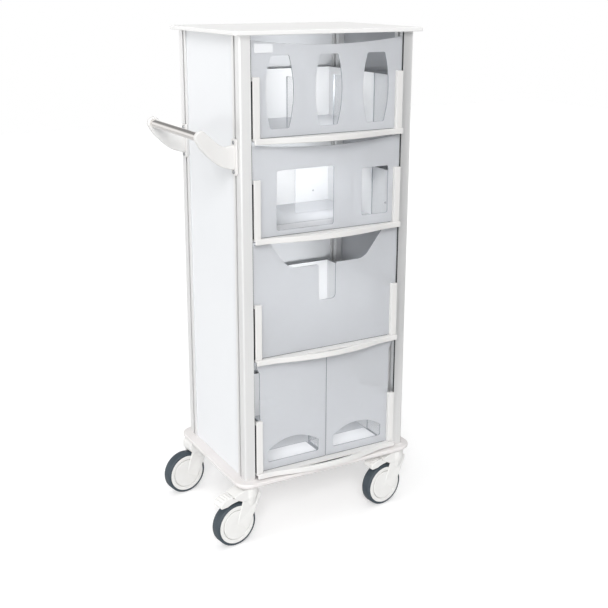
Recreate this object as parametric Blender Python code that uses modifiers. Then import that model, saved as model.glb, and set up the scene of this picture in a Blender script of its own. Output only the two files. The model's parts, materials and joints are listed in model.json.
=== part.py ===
"""Isolation cart: worktop on four slotted posts, four pull-out trays with
dispensing inserts, a side push handle and a moulded base on swivel casters.

Metres, +Z up, front towards -Y, push handle on the -X side.
"""

import math

import bmesh
import bpy
from mathutils import Matrix

# Clearance between pieces that touch
SEAT_GAP = 0.0003

# Overall height, frame and worktop
CART_HEIGHT = 1.379
FRAME_WIDTH = 0.512
FRAME_DEPTH = 0.380
POST_WIDTH = 0.030
POST_DEPTH = 0.045
WORKTOP_OVERHANG_SIDE = 0.020
WORKTOP_OVERHANG_FRONT = 0.017
WORKTOP_THICKNESS = 0.011
WORKTOP_CORNER = 0.008
WORKTOP_EDGE = 0.0015

# Post extrusion: slots, panel groove and corner rounding
POST_CORNER = 0.005
OUTER_SLOT_FROM_FRONT = 0.030
OUTER_SLOT_MOUTH = 0.009
OUTER_SLOT_CHANNEL = 0.014
OUTER_SLOT_DEPTH = 0.009
INNER_SLOT_FROM_FRONT = 0.025
INNER_SLOT_MOUTH = 0.008
INNER_SLOT_CHANNEL = 0.013
INNER_SLOT_DEPTH = 0.008
SLOT_LIP = 0.0025
PANEL_GROOVE_DEPTH = 0.006

# Panels
SIDE_PANEL_RECESS = 0.004
SIDE_PANEL_THICKNESS = 0.006
BACK_PANEL_RECESS = 0.005
BACK_PANEL_THICKNESS = 0.004

# Base
BASE_MARGIN_SIDE = 0.026
BASE_MARGIN_FRONT = 0.026
BASE_CORNER = 0.042
BASE_FLANGE = 0.010
BASE_FLANGE_EDGE = 0.003
BASE_SKIRT = 0.006
BASE_SKIRT_INSET = 0.006
BASE_WALL = 0.005
BASE_PLATE = 0.005
BASE_BOSS_RADIUS = 0.033
BASE_RIB = 0.004

# Tiers: shares of the height from the lowest tray floor to the worktop
CASTER_HEIGHT = 0.165
LOWEST_TRAY_LIFT = 0.016
LOW_TIER_SHARE = 0.2818
HIGH_TIER_SHARE = 0.2195

# Trays
TRAY_SIDE_GAP = 0.004
TRAY_FLOOR = 0.005
TRAY_BACK_GAP = 0.008
TRAY_END_REACH = 0.014
RIM_WIDTH = 0.007
RIM_DROP = 0.013
RIM_RISE = 0.002
RIM_ROUNDING = 0.0015
BOW_REACH = 0.026
BOW_HALF_CHORD = 0.168
BOW_BLEND = 0.006
FINGER_SLOT_HALF = 0.115
FINGER_SLOT_WIDTH = 0.013
FINGER_SLOT_FROM_EDGE = 0.011
PAN_SIDE_INSET = 0.017
PAN_BACK_INSET = 0.012
PAN_HEIGHT = 0.142
PAN_WALL = 0.003

# Retainer strips
STRIP_WIDTH = 0.018
STRIP_DEPTH = 0.0112
STRIP_HEIGHT = 0.153
STRIP_WALL = 0.003
STRIP_ROUNDING = 0.002

# Translucent inserts
SHEET = 0.003
PANEL_SETBACK = 0.005
PANEL_SIDE_GAP = 0.0035
PANEL_TOP_GAP = 0.003
TOP_PANEL_GAP = 0.012
TOP_SCOOP = 0.015
RETURN_DEPTH = 0.092
RETURN_GAP = 0.0005
GLOVE_PITCH = 0.143
GLOVE_CUT_SHARE = 0.7126
GLOVE_CUT_WIDTH = 0.080
GLOVE_CUT_END = 0.056
GLOVE_CUT_LIFT = 0.022
GLOVE_CUT_CORNER = 0.006
MASK_CUT_LEFT = -0.153
MASK_CUT_WIDTH = 0.171
MASK_CUT_HEIGHT = 0.157
MASK_CUT_LIFT = 0.015
SMALL_CUT_LEFT = 0.105
SMALL_CUT_WIDTH = 0.084
SMALL_CUT_HEIGHT = 0.130
SMALL_CUT_LIFT = 0.028
MASK_CUT_CORNER = 0.006
MASK_DIVIDER = 0.076
GOWN_SCOOP_TOP_HALF = 0.174
GOWN_SCOOP_FLOOR_HALF = 0.116
GOWN_SCOOP_FLOOR_LIFT = 0.238
GOWN_SCOOP_CORNER = 0.020
GOWN_SLOT_WIDTH = 0.053
GOWN_SLOT_LIFT = 0.137
GOWN_SLOT_CORNER = 0.012
BIN_SEAM = 0.0012
BIN_SIDE_INSET = 0.015
BIN_EAR_INSET = 0.006
BIN_EAR_HEIGHT = 0.008
BIN_EAR_SLOPE = 0.018
ARCH_WIDTH = 0.160
ARCH_LIFT = 0.023
ARCH_SIDE = 0.034
ARCH_RISE = 0.028
ARCH_CORNER = 0.005

# Runner channels
RUNNER_SHEET = 0.0015
RUNNER_LEDGE = 0.014
RUNNER_GUIDE = 0.010
RUNNER_FRONT_GAP = 0.001
GUIDE_SETBACK = 0.015

# Push handle
HANDLE_REACH = 0.094
HANDLE_BAR_HEIGHT = 1.123
HANDLE_BAR_DIAMETER = 0.022
HANDLE_SOCKET_DEPTH = 0.006
HANDLE_BOSS_RADIUS = 0.017
HANDLE_ARM_THICKNESS = 0.014
HANDLE_ARM_ROUNDING = 0.003
HANDLE_ROOT_HEIGHT = 0.054
HANDLE_ROOT_DROP = 0.054
FLANGE_WIDTH = 0.030
FLANGE_HEIGHT = 0.092
FLANGE_THICKNESS = 0.005
FLANGE_ROUNDING = 0.0012

# Casters
WHEEL_DIAMETER = 0.125
TYRE_WIDTH = 0.032
TYRE_SECTION = 0.0075
TYRE_SHOULDER = 0.005
WHEEL_STEPS = 24
HUB_RECESS_RADIUS = 0.0435
HUB_HALF_WIDTH = 0.012
AXLE_RADIUS = 0.006
AXLE_SOCKET = 0.0022
CASTER_TRAIL = 0.048
CASTER_TURN = math.radians(8.0)
CASTER_INSET = 0.041
FORK_DISC_GAP = 0.0025
FORK_DISC_THICKNESS = 0.0045
FORK_ARM_RISE = 0.003
FORK_ARM_EDGE = 0.0006
FORK_NECK_RADIUS = 0.0275
FORK_SHOULDER_RADIUS = 0.030
FORK_CROWN_GAP = 0.003
FORK_SHOULDER_LIFT = 0.007
STEM_RADIUS = 0.008
STEM_PLATE_RADIUS = 0.024
STEM_PLATE_THICKNESS = 0.0032
STEM_REACH_DOWN = 0.021
STEM_REACH_UP = 0.0125
BROW_REACH = 0.048
BROW_TOP = 0.147
BROW_TIP_THICKNESS = 0.006
BROW_WIDTH = 0.036
BROW_ROUNDING = 0.002

# Brake pedals on the front casters
PEDAL_WIDTH = 0.038
PEDAL_BARREL_RADIUS = 0.005
PEDAL_REACH = 0.068
PEDAL_FLAT = 0.040
PEDAL_NOSE = 0.006
PEDAL_NOSE_HEIGHT = 0.0095
PEDAL_PIVOT_BELOW_PLATE = 0.0225
PEDAL_TIP_DROP = 0.0132
PEDAL_ROUNDING = 0.0015
PEDAL_RIB_COUNT = 4
PEDAL_RIB_RADIUS = 0.0016
PEDAL_TYRE_GAP = 0.008

# Facets of the curved surfaces
FRONT_STEPS = 18
SLOT_STEPS = 12
NECK_STEPS = 20
STEM_STEPS = 16

# Derived heights and half sizes, in the cart's own axes
BASE_BOTTOM = CASTER_HEIGHT
BASE_TOP = BASE_BOTTOM + BASE_SKIRT + BASE_FLANGE
WORKTOP_BOTTOM = CART_HEIGHT - WORKTOP_THICKNESS
LOWEST_TRAY = BASE_TOP + LOWEST_TRAY_LIFT
LOW_TIER = LOW_TIER_SHARE * (WORKTOP_BOTTOM - LOWEST_TRAY)
HIGH_TIER = HIGH_TIER_SHARE * (WORKTOP_BOTTOM - LOWEST_TRAY)
TRAY_TOPS = [
    LOWEST_TRAY + 2 * LOW_TIER + HIGH_TIER,
    LOWEST_TRAY + 2 * LOW_TIER,
    LOWEST_TRAY + LOW_TIER,
    LOWEST_TRAY,
]
GLOVE_CUT_HEIGHT = GLOVE_CUT_SHARE * (WORKTOP_BOTTOM - TRAY_TOPS[0])
HALF_WIDTH = FRAME_WIDTH / 2
HALF_DEPTH = FRAME_DEPTH / 2
BAY_HALF = HALF_WIDTH - POST_WIDTH
TRAY_HALF = BAY_HALF - TRAY_SIDE_GAP
TRAY_FRONT = -HALF_DEPTH - TRAY_END_REACH
BACK_PANEL_FRONT = HALF_DEPTH - BACK_PANEL_RECESS - BACK_PANEL_THICKNESS
TRAY_BACK = BACK_PANEL_FRONT - TRAY_BACK_GAP
PANEL_FRONT = -HALF_DEPTH + PANEL_SETBACK
PANEL_HALF = BAY_HALF - PANEL_SIDE_GAP
PAN_HALF = TRAY_HALF - PAN_SIDE_INSET
PAN_BACK = TRAY_BACK - PAN_BACK_INSET
SLOT_LINE = HALF_DEPTH - OUTER_SLOT_FROM_FRONT
WHEEL_RADIUS = WHEEL_DIAMETER / 2
BASE_HALF_WIDTH = HALF_WIDTH + BASE_MARGIN_SIDE
BASE_HALF_DEPTH = HALF_DEPTH + BASE_MARGIN_FRONT
STEM_X = BASE_HALF_WIDTH - CASTER_INSET
STEM_Y = BASE_HALF_DEPTH - CASTER_INSET
BOW_FRONT = TRAY_FRONT - BOW_REACH
HANDLE_X = -HALF_WIDTH - HANDLE_REACH

# The reference point is the middle of the cart's overall box, on the floor
LEFT_REACH = HALF_WIDTH + HANDLE_REACH + HANDLE_BOSS_RADIUS
CENTRE_X = (LEFT_REACH - BASE_HALF_WIDTH) / 2
CENTRE_Y = (-BOW_FRONT - BASE_HALF_DEPTH) / 2


# Scene and materials
for old in list(bpy.data.objects):
    bpy.data.objects.remove(old, do_unlink=True)

parts = bpy.data.collections.new("isolation_cart")
bpy.context.scene.collection.children.link(parts)


def material(name, colour, roughness, metallic=0.0):
    made = bpy.data.materials.new(name)
    made.use_nodes = True
    shader = made.node_tree.nodes["Principled BSDF"]
    shader.inputs["Base Color"].default_value = (*colour, 1.0)
    shader.inputs["Roughness"].default_value = roughness
    shader.inputs["Metallic"].default_value = metallic
    return made


LAMINATE = material("white_laminate", (0.90, 0.90, 0.89), 0.35)
ALUMINIUM = material("anodised_aluminium", (0.80, 0.80, 0.79), 0.35, 0.8)
PANEL_WHITE = material("white_panel", (0.86, 0.88, 0.90), 0.25)
BASE_PLASTIC = material("base_plastic", (0.80, 0.79, 0.79), 0.45)
TRAY_PLASTIC = material("tray_plastic", (0.88, 0.87, 0.86), 0.40)
PETG = material("frosted_petg", (0.66, 0.67, 0.69), 0.45)
STEEL = material("stainless_steel", (0.62, 0.60, 0.58), 0.20, 1.0)
ZINC = material("zinc_plated_steel", (0.60, 0.60, 0.60), 0.40, 1.0)
CASTER_PLASTIC = material("caster_plastic", (0.85, 0.85, 0.84), 0.40)
TYRE_RUBBER = material("tyre_rubber", (0.05, 0.07, 0.09), 0.70)


# Modelling helpers
def placeholder(name, location=(0, 0, 0), turn=0.0, parent=None):
    empty = bpy.data.objects.new(name, None)
    empty.location = location
    empty.rotation_euler = (0, 0, turn)
    empty.parent = parent
    parts.objects.link(empty)
    return empty


def closed_mesh(obj):
    """The evaluated shape of an object as a welded mesh facing outwards."""
    graph = bpy.context.evaluated_depsgraph_get()
    graph.update()
    mesh = bpy.data.meshes.new_from_object(obj.evaluated_get(graph))
    shape = bmesh.new()
    shape.from_mesh(mesh)
    bmesh.ops.remove_doubles(shape, verts=shape.verts, dist=1e-5)
    bmesh.ops.recalc_face_normals(shape, faces=shape.faces)
    shape.to_mesh(mesh)
    shape.free()
    return mesh


def baked(obj):
    """Replace an object by a plain mesh object of the same evaluated shape."""
    mesh = closed_mesh(obj)
    solid = bpy.data.objects.new("piece", mesh)
    solid.matrix_world = obj.matrix_world.copy()
    parts.objects.link(solid)
    bpy.data.objects.remove(obj, do_unlink=True)
    return solid


def merged(target, tool, operation):
    step = target.modifiers.new("shape", "BOOLEAN")
    step.object = tool
    step.operation = operation
    step.solver = "EXACT"
    bpy.context.view_layer.update()
    result = baked(target)
    bpy.data.objects.remove(tool, do_unlink=True)
    return result


def joined(*pieces):
    whole = pieces[0]
    for piece in pieces[1:]:
        whole = merged(whole, piece, "UNION")
    return whole


def cut(target, *tools):
    for tool in tools:
        target = merged(target, tool, "DIFFERENCE")
    return target


AXES = {
    "XY": Matrix.Identity(4),
    "XZ": Matrix.Rotation(math.pi / 2, 4, "X"),
    "YZ": Matrix(((0, 0, 1, 0), (1, 0, 0, 0), (0, 1, 0, 0), (0, 0, 0, 1))),
}
ALONG = {"XY": (0, 0, 1), "XZ": (0, 1, 0), "YZ": (1, 0, 0)}


def extruded(outlines, low, high, plane="XY", rounding=0.0, smooth=False, bevels=0):
    """A flat outline, with any holes, given thickness along the third axis.

    A smooth outline runs in curves from its first point to its last, then straight back.
    """
    curve = bpy.data.curves.new("outline", "CURVE")
    curve.dimensions = "2D"
    curve.fill_mode = "BOTH"
    curve.extrude = (high - low) / 2 - rounding
    curve.bevel_depth = rounding
    curve.bevel_resolution = bevels
    curve.offset = -rounding
    curve.resolution_u = 3
    for outline in outlines:
        if smooth:
            spline = curve.splines.new("BEZIER")
            spline.bezier_points.add(len(outline) - 1)
            for point, (x, y) in zip(spline.bezier_points, outline):
                point.co = (x, y, 0)
                point.handle_left_type = "AUTO"
                point.handle_right_type = "AUTO"
            for end in (spline.bezier_points[0], spline.bezier_points[-1]):
                end.handle_left_type = "VECTOR"
                end.handle_right_type = "VECTOR"
        else:
            spline = curve.splines.new("POLY")
            spline.points.add(len(outline) - 1)
            for point, (x, y) in zip(spline.points, outline):
                point.co = (x, y, 0, 1)
        spline.use_cyclic_u = True
    drawn = bpy.data.objects.new("outline", curve)
    parts.objects.link(drawn)
    solid = baked(drawn)
    middle = (low + high) / 2
    solid.data.transform(AXES[plane])
    solid.data.transform(Matrix.Translation([middle * part for part in ALONG[plane]]))
    return solid


def turned(profile, steps=WHEEL_STEPS, twist=0.0):
    """A profile of (radius, height) points turned about Z."""
    mesh = bpy.data.meshes.new("profile")
    edges = [(i, i + 1) for i in range(len(profile) - 1)]
    if min(radius for radius, _ in profile) > 0:
        edges.append((len(profile) - 1, 0))
    mesh.from_pydata([(radius, 0, height) for radius, height in profile], edges, [])
    drawn = bpy.data.objects.new("profile", mesh)
    parts.objects.link(drawn)
    screw = drawn.modifiers.new("turn", "SCREW")
    screw.steps = steps
    screw.render_steps = steps
    screw.use_merge_vertices = True
    screw.merge_threshold = 1e-5
    solid = baked(drawn)
    solid.data.transform(Matrix.Rotation(twist, 4, "Z"))
    return solid


def cylinder(radius, low, high, steps=20):
    return turned([(0, high), (radius, high), (radius, low), (0, low)], steps)


def onto_axle(solid):
    """Lay a shape turned about Z along the wheel axle, which is Y."""
    solid.data.transform(Matrix.Rotation(math.pi / 2, 4, "X"))
    return solid


def moved(solid, x=0.0, y=0.0, z=0.0):
    solid.data.transform(Matrix.Translation((x, y, z)))
    return solid


def block(x0, x1, y0, y1, z0, z1):
    return extruded([[(x0, y0), (x1, y0), (x1, y1), (x0, y1)]], z0, z1)


def rounded(corners, steps=3):
    """Outline through (x, y, radius) corners with each corner rounded."""
    points = []
    count = len(corners)
    for i, (x, y, radius) in enumerate(corners):
        if radius <= 0:
            points.append((x, y))
            continue
        px, py, _ = corners[i - 1]
        nx, ny, _ = corners[(i + 1) % count]
        back = math.atan2(py - y, px - x)
        ahead = math.atan2(ny - y, nx - x)
        turn = (ahead - back + math.pi) % (2 * math.pi) - math.pi
        reach = radius / math.tan(abs(turn) / 2)
        to_centre = back + turn / 2
        distance = radius / math.sin(abs(turn) / 2)
        cx = x + distance * math.cos(to_centre)
        cy = y + distance * math.sin(to_centre)
        start = math.atan2(y + reach * math.sin(back) - cy, x + reach * math.cos(back) - cx)
        sweep = -math.copysign(math.pi - abs(turn), turn)
        for k in range(steps + 1):
            angle = start + sweep * k / steps
            points.append((cx + radius * math.cos(angle), cy + radius * math.sin(angle)))
    return points


def rectangle(x0, x1, y0, y1, radius=0.0):
    return rounded([(x0, y0, radius), (x1, y0, radius), (x1, y1, radius), (x0, y1, radius)])


def piece(name, solid, finish, parent, location=(0, 0, 0), smooth=None):
    """Name a finished shape, give it its material and hang it on its parent."""
    solid.name = name
    solid.data.name = name
    solid.data.materials.clear()
    solid.data.materials.append(finish)
    if smooth is not None:
        solid.data.shade_smooth()
        solid.data.set_sharp_from_angle(angle=math.radians(smooth))
    solid.parent = parent
    solid.location = location
    return solid


def repeated(name, first, parent, location=(0, 0, 0)):
    """Another copy of a finished piece, sharing its mesh."""
    copy = bpy.data.objects.new(name, first.data)
    copy.parent = parent
    copy.location = location
    parts.objects.link(copy)
    return copy


def mirrored(points, flip_x=1, flip_y=1):
    return [(x * flip_x, y * flip_y) for x, y in points]


# The whole cart hangs on one empty at the middle of its frame
cart = placeholder("cart", (CENTRE_X, CENTRE_Y, 0))


# Worktop slab
worktop = extruded(
    [rectangle(
        -HALF_WIDTH - WORKTOP_OVERHANG_SIDE, HALF_WIDTH + WORKTOP_OVERHANG_SIDE,
        -HALF_DEPTH - WORKTOP_OVERHANG_FRONT, HALF_DEPTH + WORKTOP_OVERHANG_FRONT,
        WORKTOP_CORNER)],
    WORKTOP_BOTTOM, CART_HEIGHT, rounding=WORKTOP_EDGE)
piece("worktop", worktop, LAMINATE, cart)


# Corner posts: one extrusion with two T-slots and a panel groove
def post_outline():
    """Profile of the front left post from its outer front corner, inwards and back."""
    wide = POST_WIDTH
    deep = POST_DEPTH
    groove_low = SIDE_PANEL_RECESS - SEAT_GAP
    groove_high = SIDE_PANEL_RECESS + SIDE_PANEL_THICKNESS + SEAT_GAP
    outer_mouth = OUTER_SLOT_MOUTH / 2
    outer_channel = OUTER_SLOT_CHANNEL / 2
    inner_mouth = INNER_SLOT_MOUTH / 2
    inner_channel = INNER_SLOT_CHANNEL / 2
    outer = OUTER_SLOT_FROM_FRONT
    inner = INNER_SLOT_FROM_FRONT
    corners = [
        (0, 0, POST_CORNER), (wide, 0, SLOT_LIP / 2),
        (wide, inner - inner_mouth, 0), (wide - SLOT_LIP, inner - inner_mouth, 0),
        (wide - SLOT_LIP, inner - inner_channel, 0), (wide - INNER_SLOT_DEPTH, inner - inner_channel, 0),
        (wide - INNER_SLOT_DEPTH, inner + inner_channel, 0), (wide - SLOT_LIP, inner + inner_channel, 0),
        (wide - SLOT_LIP, inner + inner_mouth, 0), (wide, inner + inner_mouth, 0),
        (wide, deep, SLOT_LIP / 2),
        (groove_high, deep, 0), (groove_high, deep - PANEL_GROOVE_DEPTH, 0),
        (groove_low, deep - PANEL_GROOVE_DEPTH, 0), (groove_low, deep, 0),
        (0, deep, SLOT_LIP / 2),
        (0, outer + outer_mouth, 0), (SLOT_LIP, outer + outer_mouth, 0),
        (SLOT_LIP, outer + outer_channel, 0), (OUTER_SLOT_DEPTH, outer + outer_channel, 0),
        (OUTER_SLOT_DEPTH, outer - outer_channel, 0), (SLOT_LIP, outer - outer_channel, 0),
        (SLOT_LIP, outer - outer_mouth, 0), (0, outer - outer_mouth, 0),
    ]
    return [(u - HALF_WIDTH, v - HALF_DEPTH) for u, v in rounded(corners)]


POST_PLACES = {
    "front_left": (1, 1), "front_right": (-1, 1),
    "rear_left": (1, -1), "rear_right": (-1, -1),
}
for place, (flip_x, flip_y) in POST_PLACES.items():
    post = extruded(
        [mirrored(post_outline(), flip_x, flip_y)],
        BASE_TOP + SEAT_GAP, WORKTOP_BOTTOM - SEAT_GAP)
    piece("post_" + place, post, ALUMINIUM, cart)


# Side panels seated in the posts' grooves, back panel between the rear posts
PANEL_HALF_DEPTH = HALF_DEPTH - POST_DEPTH + PANEL_GROOVE_DEPTH - SEAT_GAP
for place, side in (("left", -1), ("right", 1)):
    outside = side * (HALF_WIDTH - SIDE_PANEL_RECESS)
    inside = side * (HALF_WIDTH - SIDE_PANEL_RECESS - SIDE_PANEL_THICKNESS)
    panel = block(
        min(outside, inside), max(outside, inside), -PANEL_HALF_DEPTH, PANEL_HALF_DEPTH,
        BASE_TOP + SEAT_GAP, WORKTOP_BOTTOM - SEAT_GAP)
    piece("side_panel_" + place, panel, PANEL_WHITE, cart)

back_panel = block(
    -BAY_HALF + SEAT_GAP, BAY_HALF - SEAT_GAP,
    BACK_PANEL_FRONT, BACK_PANEL_FRONT + BACK_PANEL_THICKNESS,
    BASE_TOP + SEAT_GAP, WORKTOP_BOTTOM - SEAT_GAP)
piece("back_panel", back_panel, PANEL_WHITE, cart)


# Base: rounded flange over an inset skirt, hollow below with caster bosses and ribs
CASTER_PLACES = {
    "fl": (-STEM_X, -STEM_Y), "fr": (STEM_X, -STEM_Y),
    "bl": (-STEM_X, STEM_Y), "br": (STEM_X, STEM_Y),
}


def base_outline(inset):
    return rectangle(
        -BASE_HALF_WIDTH + inset, BASE_HALF_WIDTH - inset,
        -BASE_HALF_DEPTH + inset, BASE_HALF_DEPTH - inset, BASE_CORNER - inset)


pocket_top = BASE_TOP - BASE_PLATE
stem_top = BASE_BOTTOM + STEM_REACH_UP
overlap = BASE_PLATE / 4
flange = extruded(
    [base_outline(0)], BASE_TOP - BASE_FLANGE, BASE_TOP, rounding=BASE_FLANGE_EDGE, bevels=1)
skirt = extruded([base_outline(BASE_SKIRT_INSET)], BASE_BOTTOM, BASE_TOP - BASE_FLANGE / 2)
base = joined(flange, skirt)
pocket = extruded([base_outline(BASE_SKIRT_INSET + BASE_WALL)], BASE_BOTTOM - BASE_SKIRT, pocket_top)
base = cut(base, pocket)
rib_x = block(
    -BASE_HALF_WIDTH + BASE_SKIRT_INSET + overlap, BASE_HALF_WIDTH - BASE_SKIRT_INSET - overlap,
    -BASE_RIB / 2, BASE_RIB / 2, BASE_BOTTOM + overlap, pocket_top + overlap)
rib_y = block(
    -BASE_RIB / 2, BASE_RIB / 2,
    -BASE_HALF_DEPTH + BASE_SKIRT_INSET + overlap, BASE_HALF_DEPTH - BASE_SKIRT_INSET - overlap,
    BASE_BOTTOM + overlap, pocket_top + overlap)
base = joined(base, joined(rib_x, rib_y))
for x, y in CASTER_PLACES.values():
    boss = moved(cylinder(BASE_BOSS_RADIUS, BASE_BOTTOM, pocket_top + overlap), x, y)
    base = joined(base, boss)
for x, y in CASTER_PLACES.values():
    seat = moved(
        cylinder(STEM_RADIUS + SEAT_GAP, BASE_BOTTOM - BASE_SKIRT, stem_top + SEAT_GAP, STEM_STEPS), x, y)
    base = cut(base, seat)
piece("base", base, BASE_PLASTIC, cart, smooth=35)


# Push handle: a bar between two moulded arms whose flanges cover the post slots
def arm_outline():
    root_x = -HALF_WIDTH - SEAT_GAP - FLANGE_THICKNESS / 2
    root_low = HANDLE_BAR_HEIGHT - HANDLE_ROOT_DROP - HANDLE_ROOT_HEIGHT / 2
    root_high = root_low + HANDLE_ROOT_HEIGHT
    run = root_x - HANDLE_X
    boss = HANDLE_BOSS_RADIUS
    low_rise = HANDLE_BAR_HEIGHT - root_low
    high_rise = HANDLE_BAR_HEIGHT - root_high
    points = [
        (root_x, root_low),
        (root_x - 0.30 * run, root_low + 0.01 * low_rise),
        (root_x - 0.60 * run, root_low + 0.19 * low_rise),
        (HANDLE_X + 0.12 * boss, HANDLE_BAR_HEIGHT - 1.95 * boss),
    ]
    for degrees in (218, 180, 140, 100, 60):
        angle = math.radians(degrees)
        points.append((
            HANDLE_X + boss * math.cos(angle),
            HANDLE_BAR_HEIGHT + boss * math.sin(angle)))
    points += [
        (root_x - 0.54 * run, root_high + 0.42 * high_rise),
        (root_x - 0.30 * run, root_high + 0.02 * high_rise),
        (root_x, root_high),
    ]
    return points


def handle_bracket(side):
    """Arm and flange on the front (-1) or rear (+1) post."""
    line = side * SLOT_LINE
    outer_face = -HALF_WIDTH - SEAT_GAP
    arm = extruded(
        [arm_outline()], line - HANDLE_ARM_THICKNESS / 2, line + HANDLE_ARM_THICKNESS / 2,
        "XZ", HANDLE_ARM_ROUNDING, smooth=True)
    middle = HANDLE_BAR_HEIGHT - HANDLE_ROOT_DROP
    plate = extruded(
        [rectangle(line - FLANGE_WIDTH / 2, line + FLANGE_WIDTH / 2,
                   middle - FLANGE_HEIGHT / 2, middle + FLANGE_HEIGHT / 2, FLANGE_THICKNESS)],
        outer_face - FLANGE_THICKNESS, outer_face, "YZ", FLANGE_ROUNDING)
    bracket = joined(plate, arm)
    inner_face = SLOT_LINE - HANDLE_ARM_THICKNESS / 2
    bottom = inner_face + HANDLE_SOCKET_DEPTH
    socket = onto_axle(cylinder(HANDLE_BAR_DIAMETER / 2 + SEAT_GAP, -bottom, bottom))
    return cut(bracket, moved(socket, HANDLE_X, 0, HANDLE_BAR_HEIGHT))


piece("handle_bracket_front", handle_bracket(-1), TRAY_PLASTIC, cart, smooth=40)
piece("handle_bracket_rear", handle_bracket(1), TRAY_PLASTIC, cart, smooth=40)
bar_half = SLOT_LINE - HANDLE_ARM_THICKNESS / 2 + HANDLE_SOCKET_DEPTH - SEAT_GAP
bar = onto_axle(cylinder(HANDLE_BAR_DIAMETER / 2, -bar_half, bar_half))
piece("handle_bar", moved(bar, HANDLE_X, 0, HANDLE_BAR_HEIGHT), STEEL, cart, smooth=40)


# Runner channels on the posts' inner faces
def runner(side, top):
    """Channel whose ledge carries a tray floor; its upper lip keeps the tray level."""
    outer = BAY_HALF - SEAT_GAP
    ledge_top = top - TRAY_FLOOR - SEAT_GAP
    guide_low = top + SEAT_GAP
    web = outer - RUNNER_SHEET
    profile = [
        (outer - RUNNER_LEDGE, ledge_top - RUNNER_SHEET), (outer, ledge_top - RUNNER_SHEET),
        (outer, guide_low + RUNNER_SHEET), (outer - RUNNER_GUIDE, guide_low + RUNNER_SHEET),
        (outer - RUNNER_GUIDE, guide_low), (web, guide_low),
        (web, ledge_top), (outer - RUNNER_LEDGE, ledge_top),
    ]
    front = -HALF_DEPTH + RUNNER_FRONT_GAP
    channel = extruded([mirrored(profile, side)], front, BACK_PANEL_FRONT - SEAT_GAP, "XZ")
    guide_front = PANEL_FRONT + SHEET + GUIDE_SETBACK
    notch = block(
        -BAY_HALF, BAY_HALF, front - RUNNER_SHEET, guide_front,
        guide_low - TRAY_FLOOR / 2, guide_low + 2 * RUNNER_SHEET)
    return cut(channel, notch)


for tier, top in enumerate(TRAY_TOPS, start=1):
    for place, side in (("left", -1), ("right", 1)):
        piece("runner_%d_%s" % (tier, place), runner(side, top), ZINC, cart)


# Trays: floor with bowed front rim, finger slot and pan walls
def front_edge(x):
    """Front of the tray at x: straight ends blending into a shallow bow."""
    radius = (BOW_HALF_CHORD ** 2 + BOW_REACH ** 2) / (2 * BOW_REACH)
    rise = math.sqrt(radius ** 2 - x ** 2) - radius + BOW_REACH
    crest = (BOW_REACH + math.hypot(BOW_REACH, BOW_BLEND)) / 2
    blended = (rise + math.hypot(rise, BOW_BLEND)) / 2
    return TRAY_FRONT - BOW_REACH * blended / crest


def across(half, steps):
    return [half * (2 * i / steps - 1) for i in range(steps + 1)]


def tray_shape(top):
    stations = across(TRAY_HALF, FRONT_STEPS)
    slot_stations = across(FINGER_SLOT_HALF, SLOT_STEPS)
    slot_front = [(x, front_edge(x) + FINGER_SLOT_FROM_EDGE) for x in slot_stations]
    slot_back = [
        (x, y + FINGER_SLOT_WIDTH * (1 - (x / FINGER_SLOT_HALF) ** 2))
        for x, y in slot_front[-2:0:-1]
    ]
    floor_front = [(x, front_edge(x) + RIM_WIDTH / 2) for x in stations]
    floor = extruded(
        [floor_front + [(TRAY_HALF, TRAY_BACK), (-TRAY_HALF, TRAY_BACK)], slot_front + slot_back],
        top - TRAY_FLOOR, top)
    rim_front = [(x, front_edge(x)) for x in stations]
    rim_back = [(x, y + RIM_WIDTH) for x, y in reversed(rim_front)]
    rim = extruded([rim_front + rim_back], top - RIM_DROP, top + RIM_RISE, rounding=RIM_ROUNDING)
    wall_front = PANEL_FRONT + SHEET + RETURN_GAP
    inner = PAN_HALF - PAN_WALL
    walls = extruded(
        [[(-PAN_HALF, wall_front), (-inner, wall_front), (-inner, PAN_BACK - PAN_WALL),
          (inner, PAN_BACK - PAN_WALL), (inner, wall_front), (PAN_HALF, wall_front),
          (PAN_HALF, PAN_BACK), (-PAN_HALF, PAN_BACK)]],
        top - TRAY_FLOOR / 2, top + PAN_HEIGHT)
    return joined(floor, rim, walls)


def strip_shape(side, top):
    """Retainer strip: a channel section open to the back, rounded at the front."""
    outer = TRAY_HALF
    inner = TRAY_HALF - STRIP_WIDTH
    back = PANEL_FRONT - SEAT_GAP
    front = back - STRIP_DEPTH
    outline = rounded([
        (inner, front, STRIP_ROUNDING), (outer, front, STRIP_ROUNDING), (outer, back, 0),
        (outer - STRIP_WALL, back, 0), (outer - STRIP_WALL, front + STRIP_WALL, 0),
        (inner + STRIP_WALL, front + STRIP_WALL, 0), (inner + STRIP_WALL, back, 0), (inner, back, 0)])
    low = top + SEAT_GAP
    return extruded([mirrored(outline, side)], low, low + STRIP_HEIGHT)


slides = []
for tier, top in enumerate(TRAY_TOPS, start=1):
    slide = placeholder("tray_%d_slide" % tier, parent=cart)
    slides.append(slide)
    piece("tray_%d" % tier, tray_shape(top), TRAY_PLASTIC, slide)
    for place, side in (("left", -1), ("right", 1)):
        piece("strip_%d_%s" % (tier, place), strip_shape(side, top), TRAY_PLASTIC, slide)


# Translucent inserts: a front sheet standing on the tray, with returns behind it
def sheet_front(outlines):
    return extruded(outlines, PANEL_FRONT, PANEL_FRONT + SHEET, "XZ")


def sheet_hole(outline):
    return extruded([outline], PANEL_FRONT - SHEET, PANEL_FRONT + 2 * SHEET, "XZ")


def upright(x, low, depth, height):
    """A sheet standing behind the front sheet at x, running back from it."""
    front = PANEL_FRONT + SHEET / 2
    return block(
        x - SHEET / 2, x + SHEET / 2, front, PANEL_FRONT + SHEET + depth,
        low + RETURN_GAP, low + height)


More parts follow.
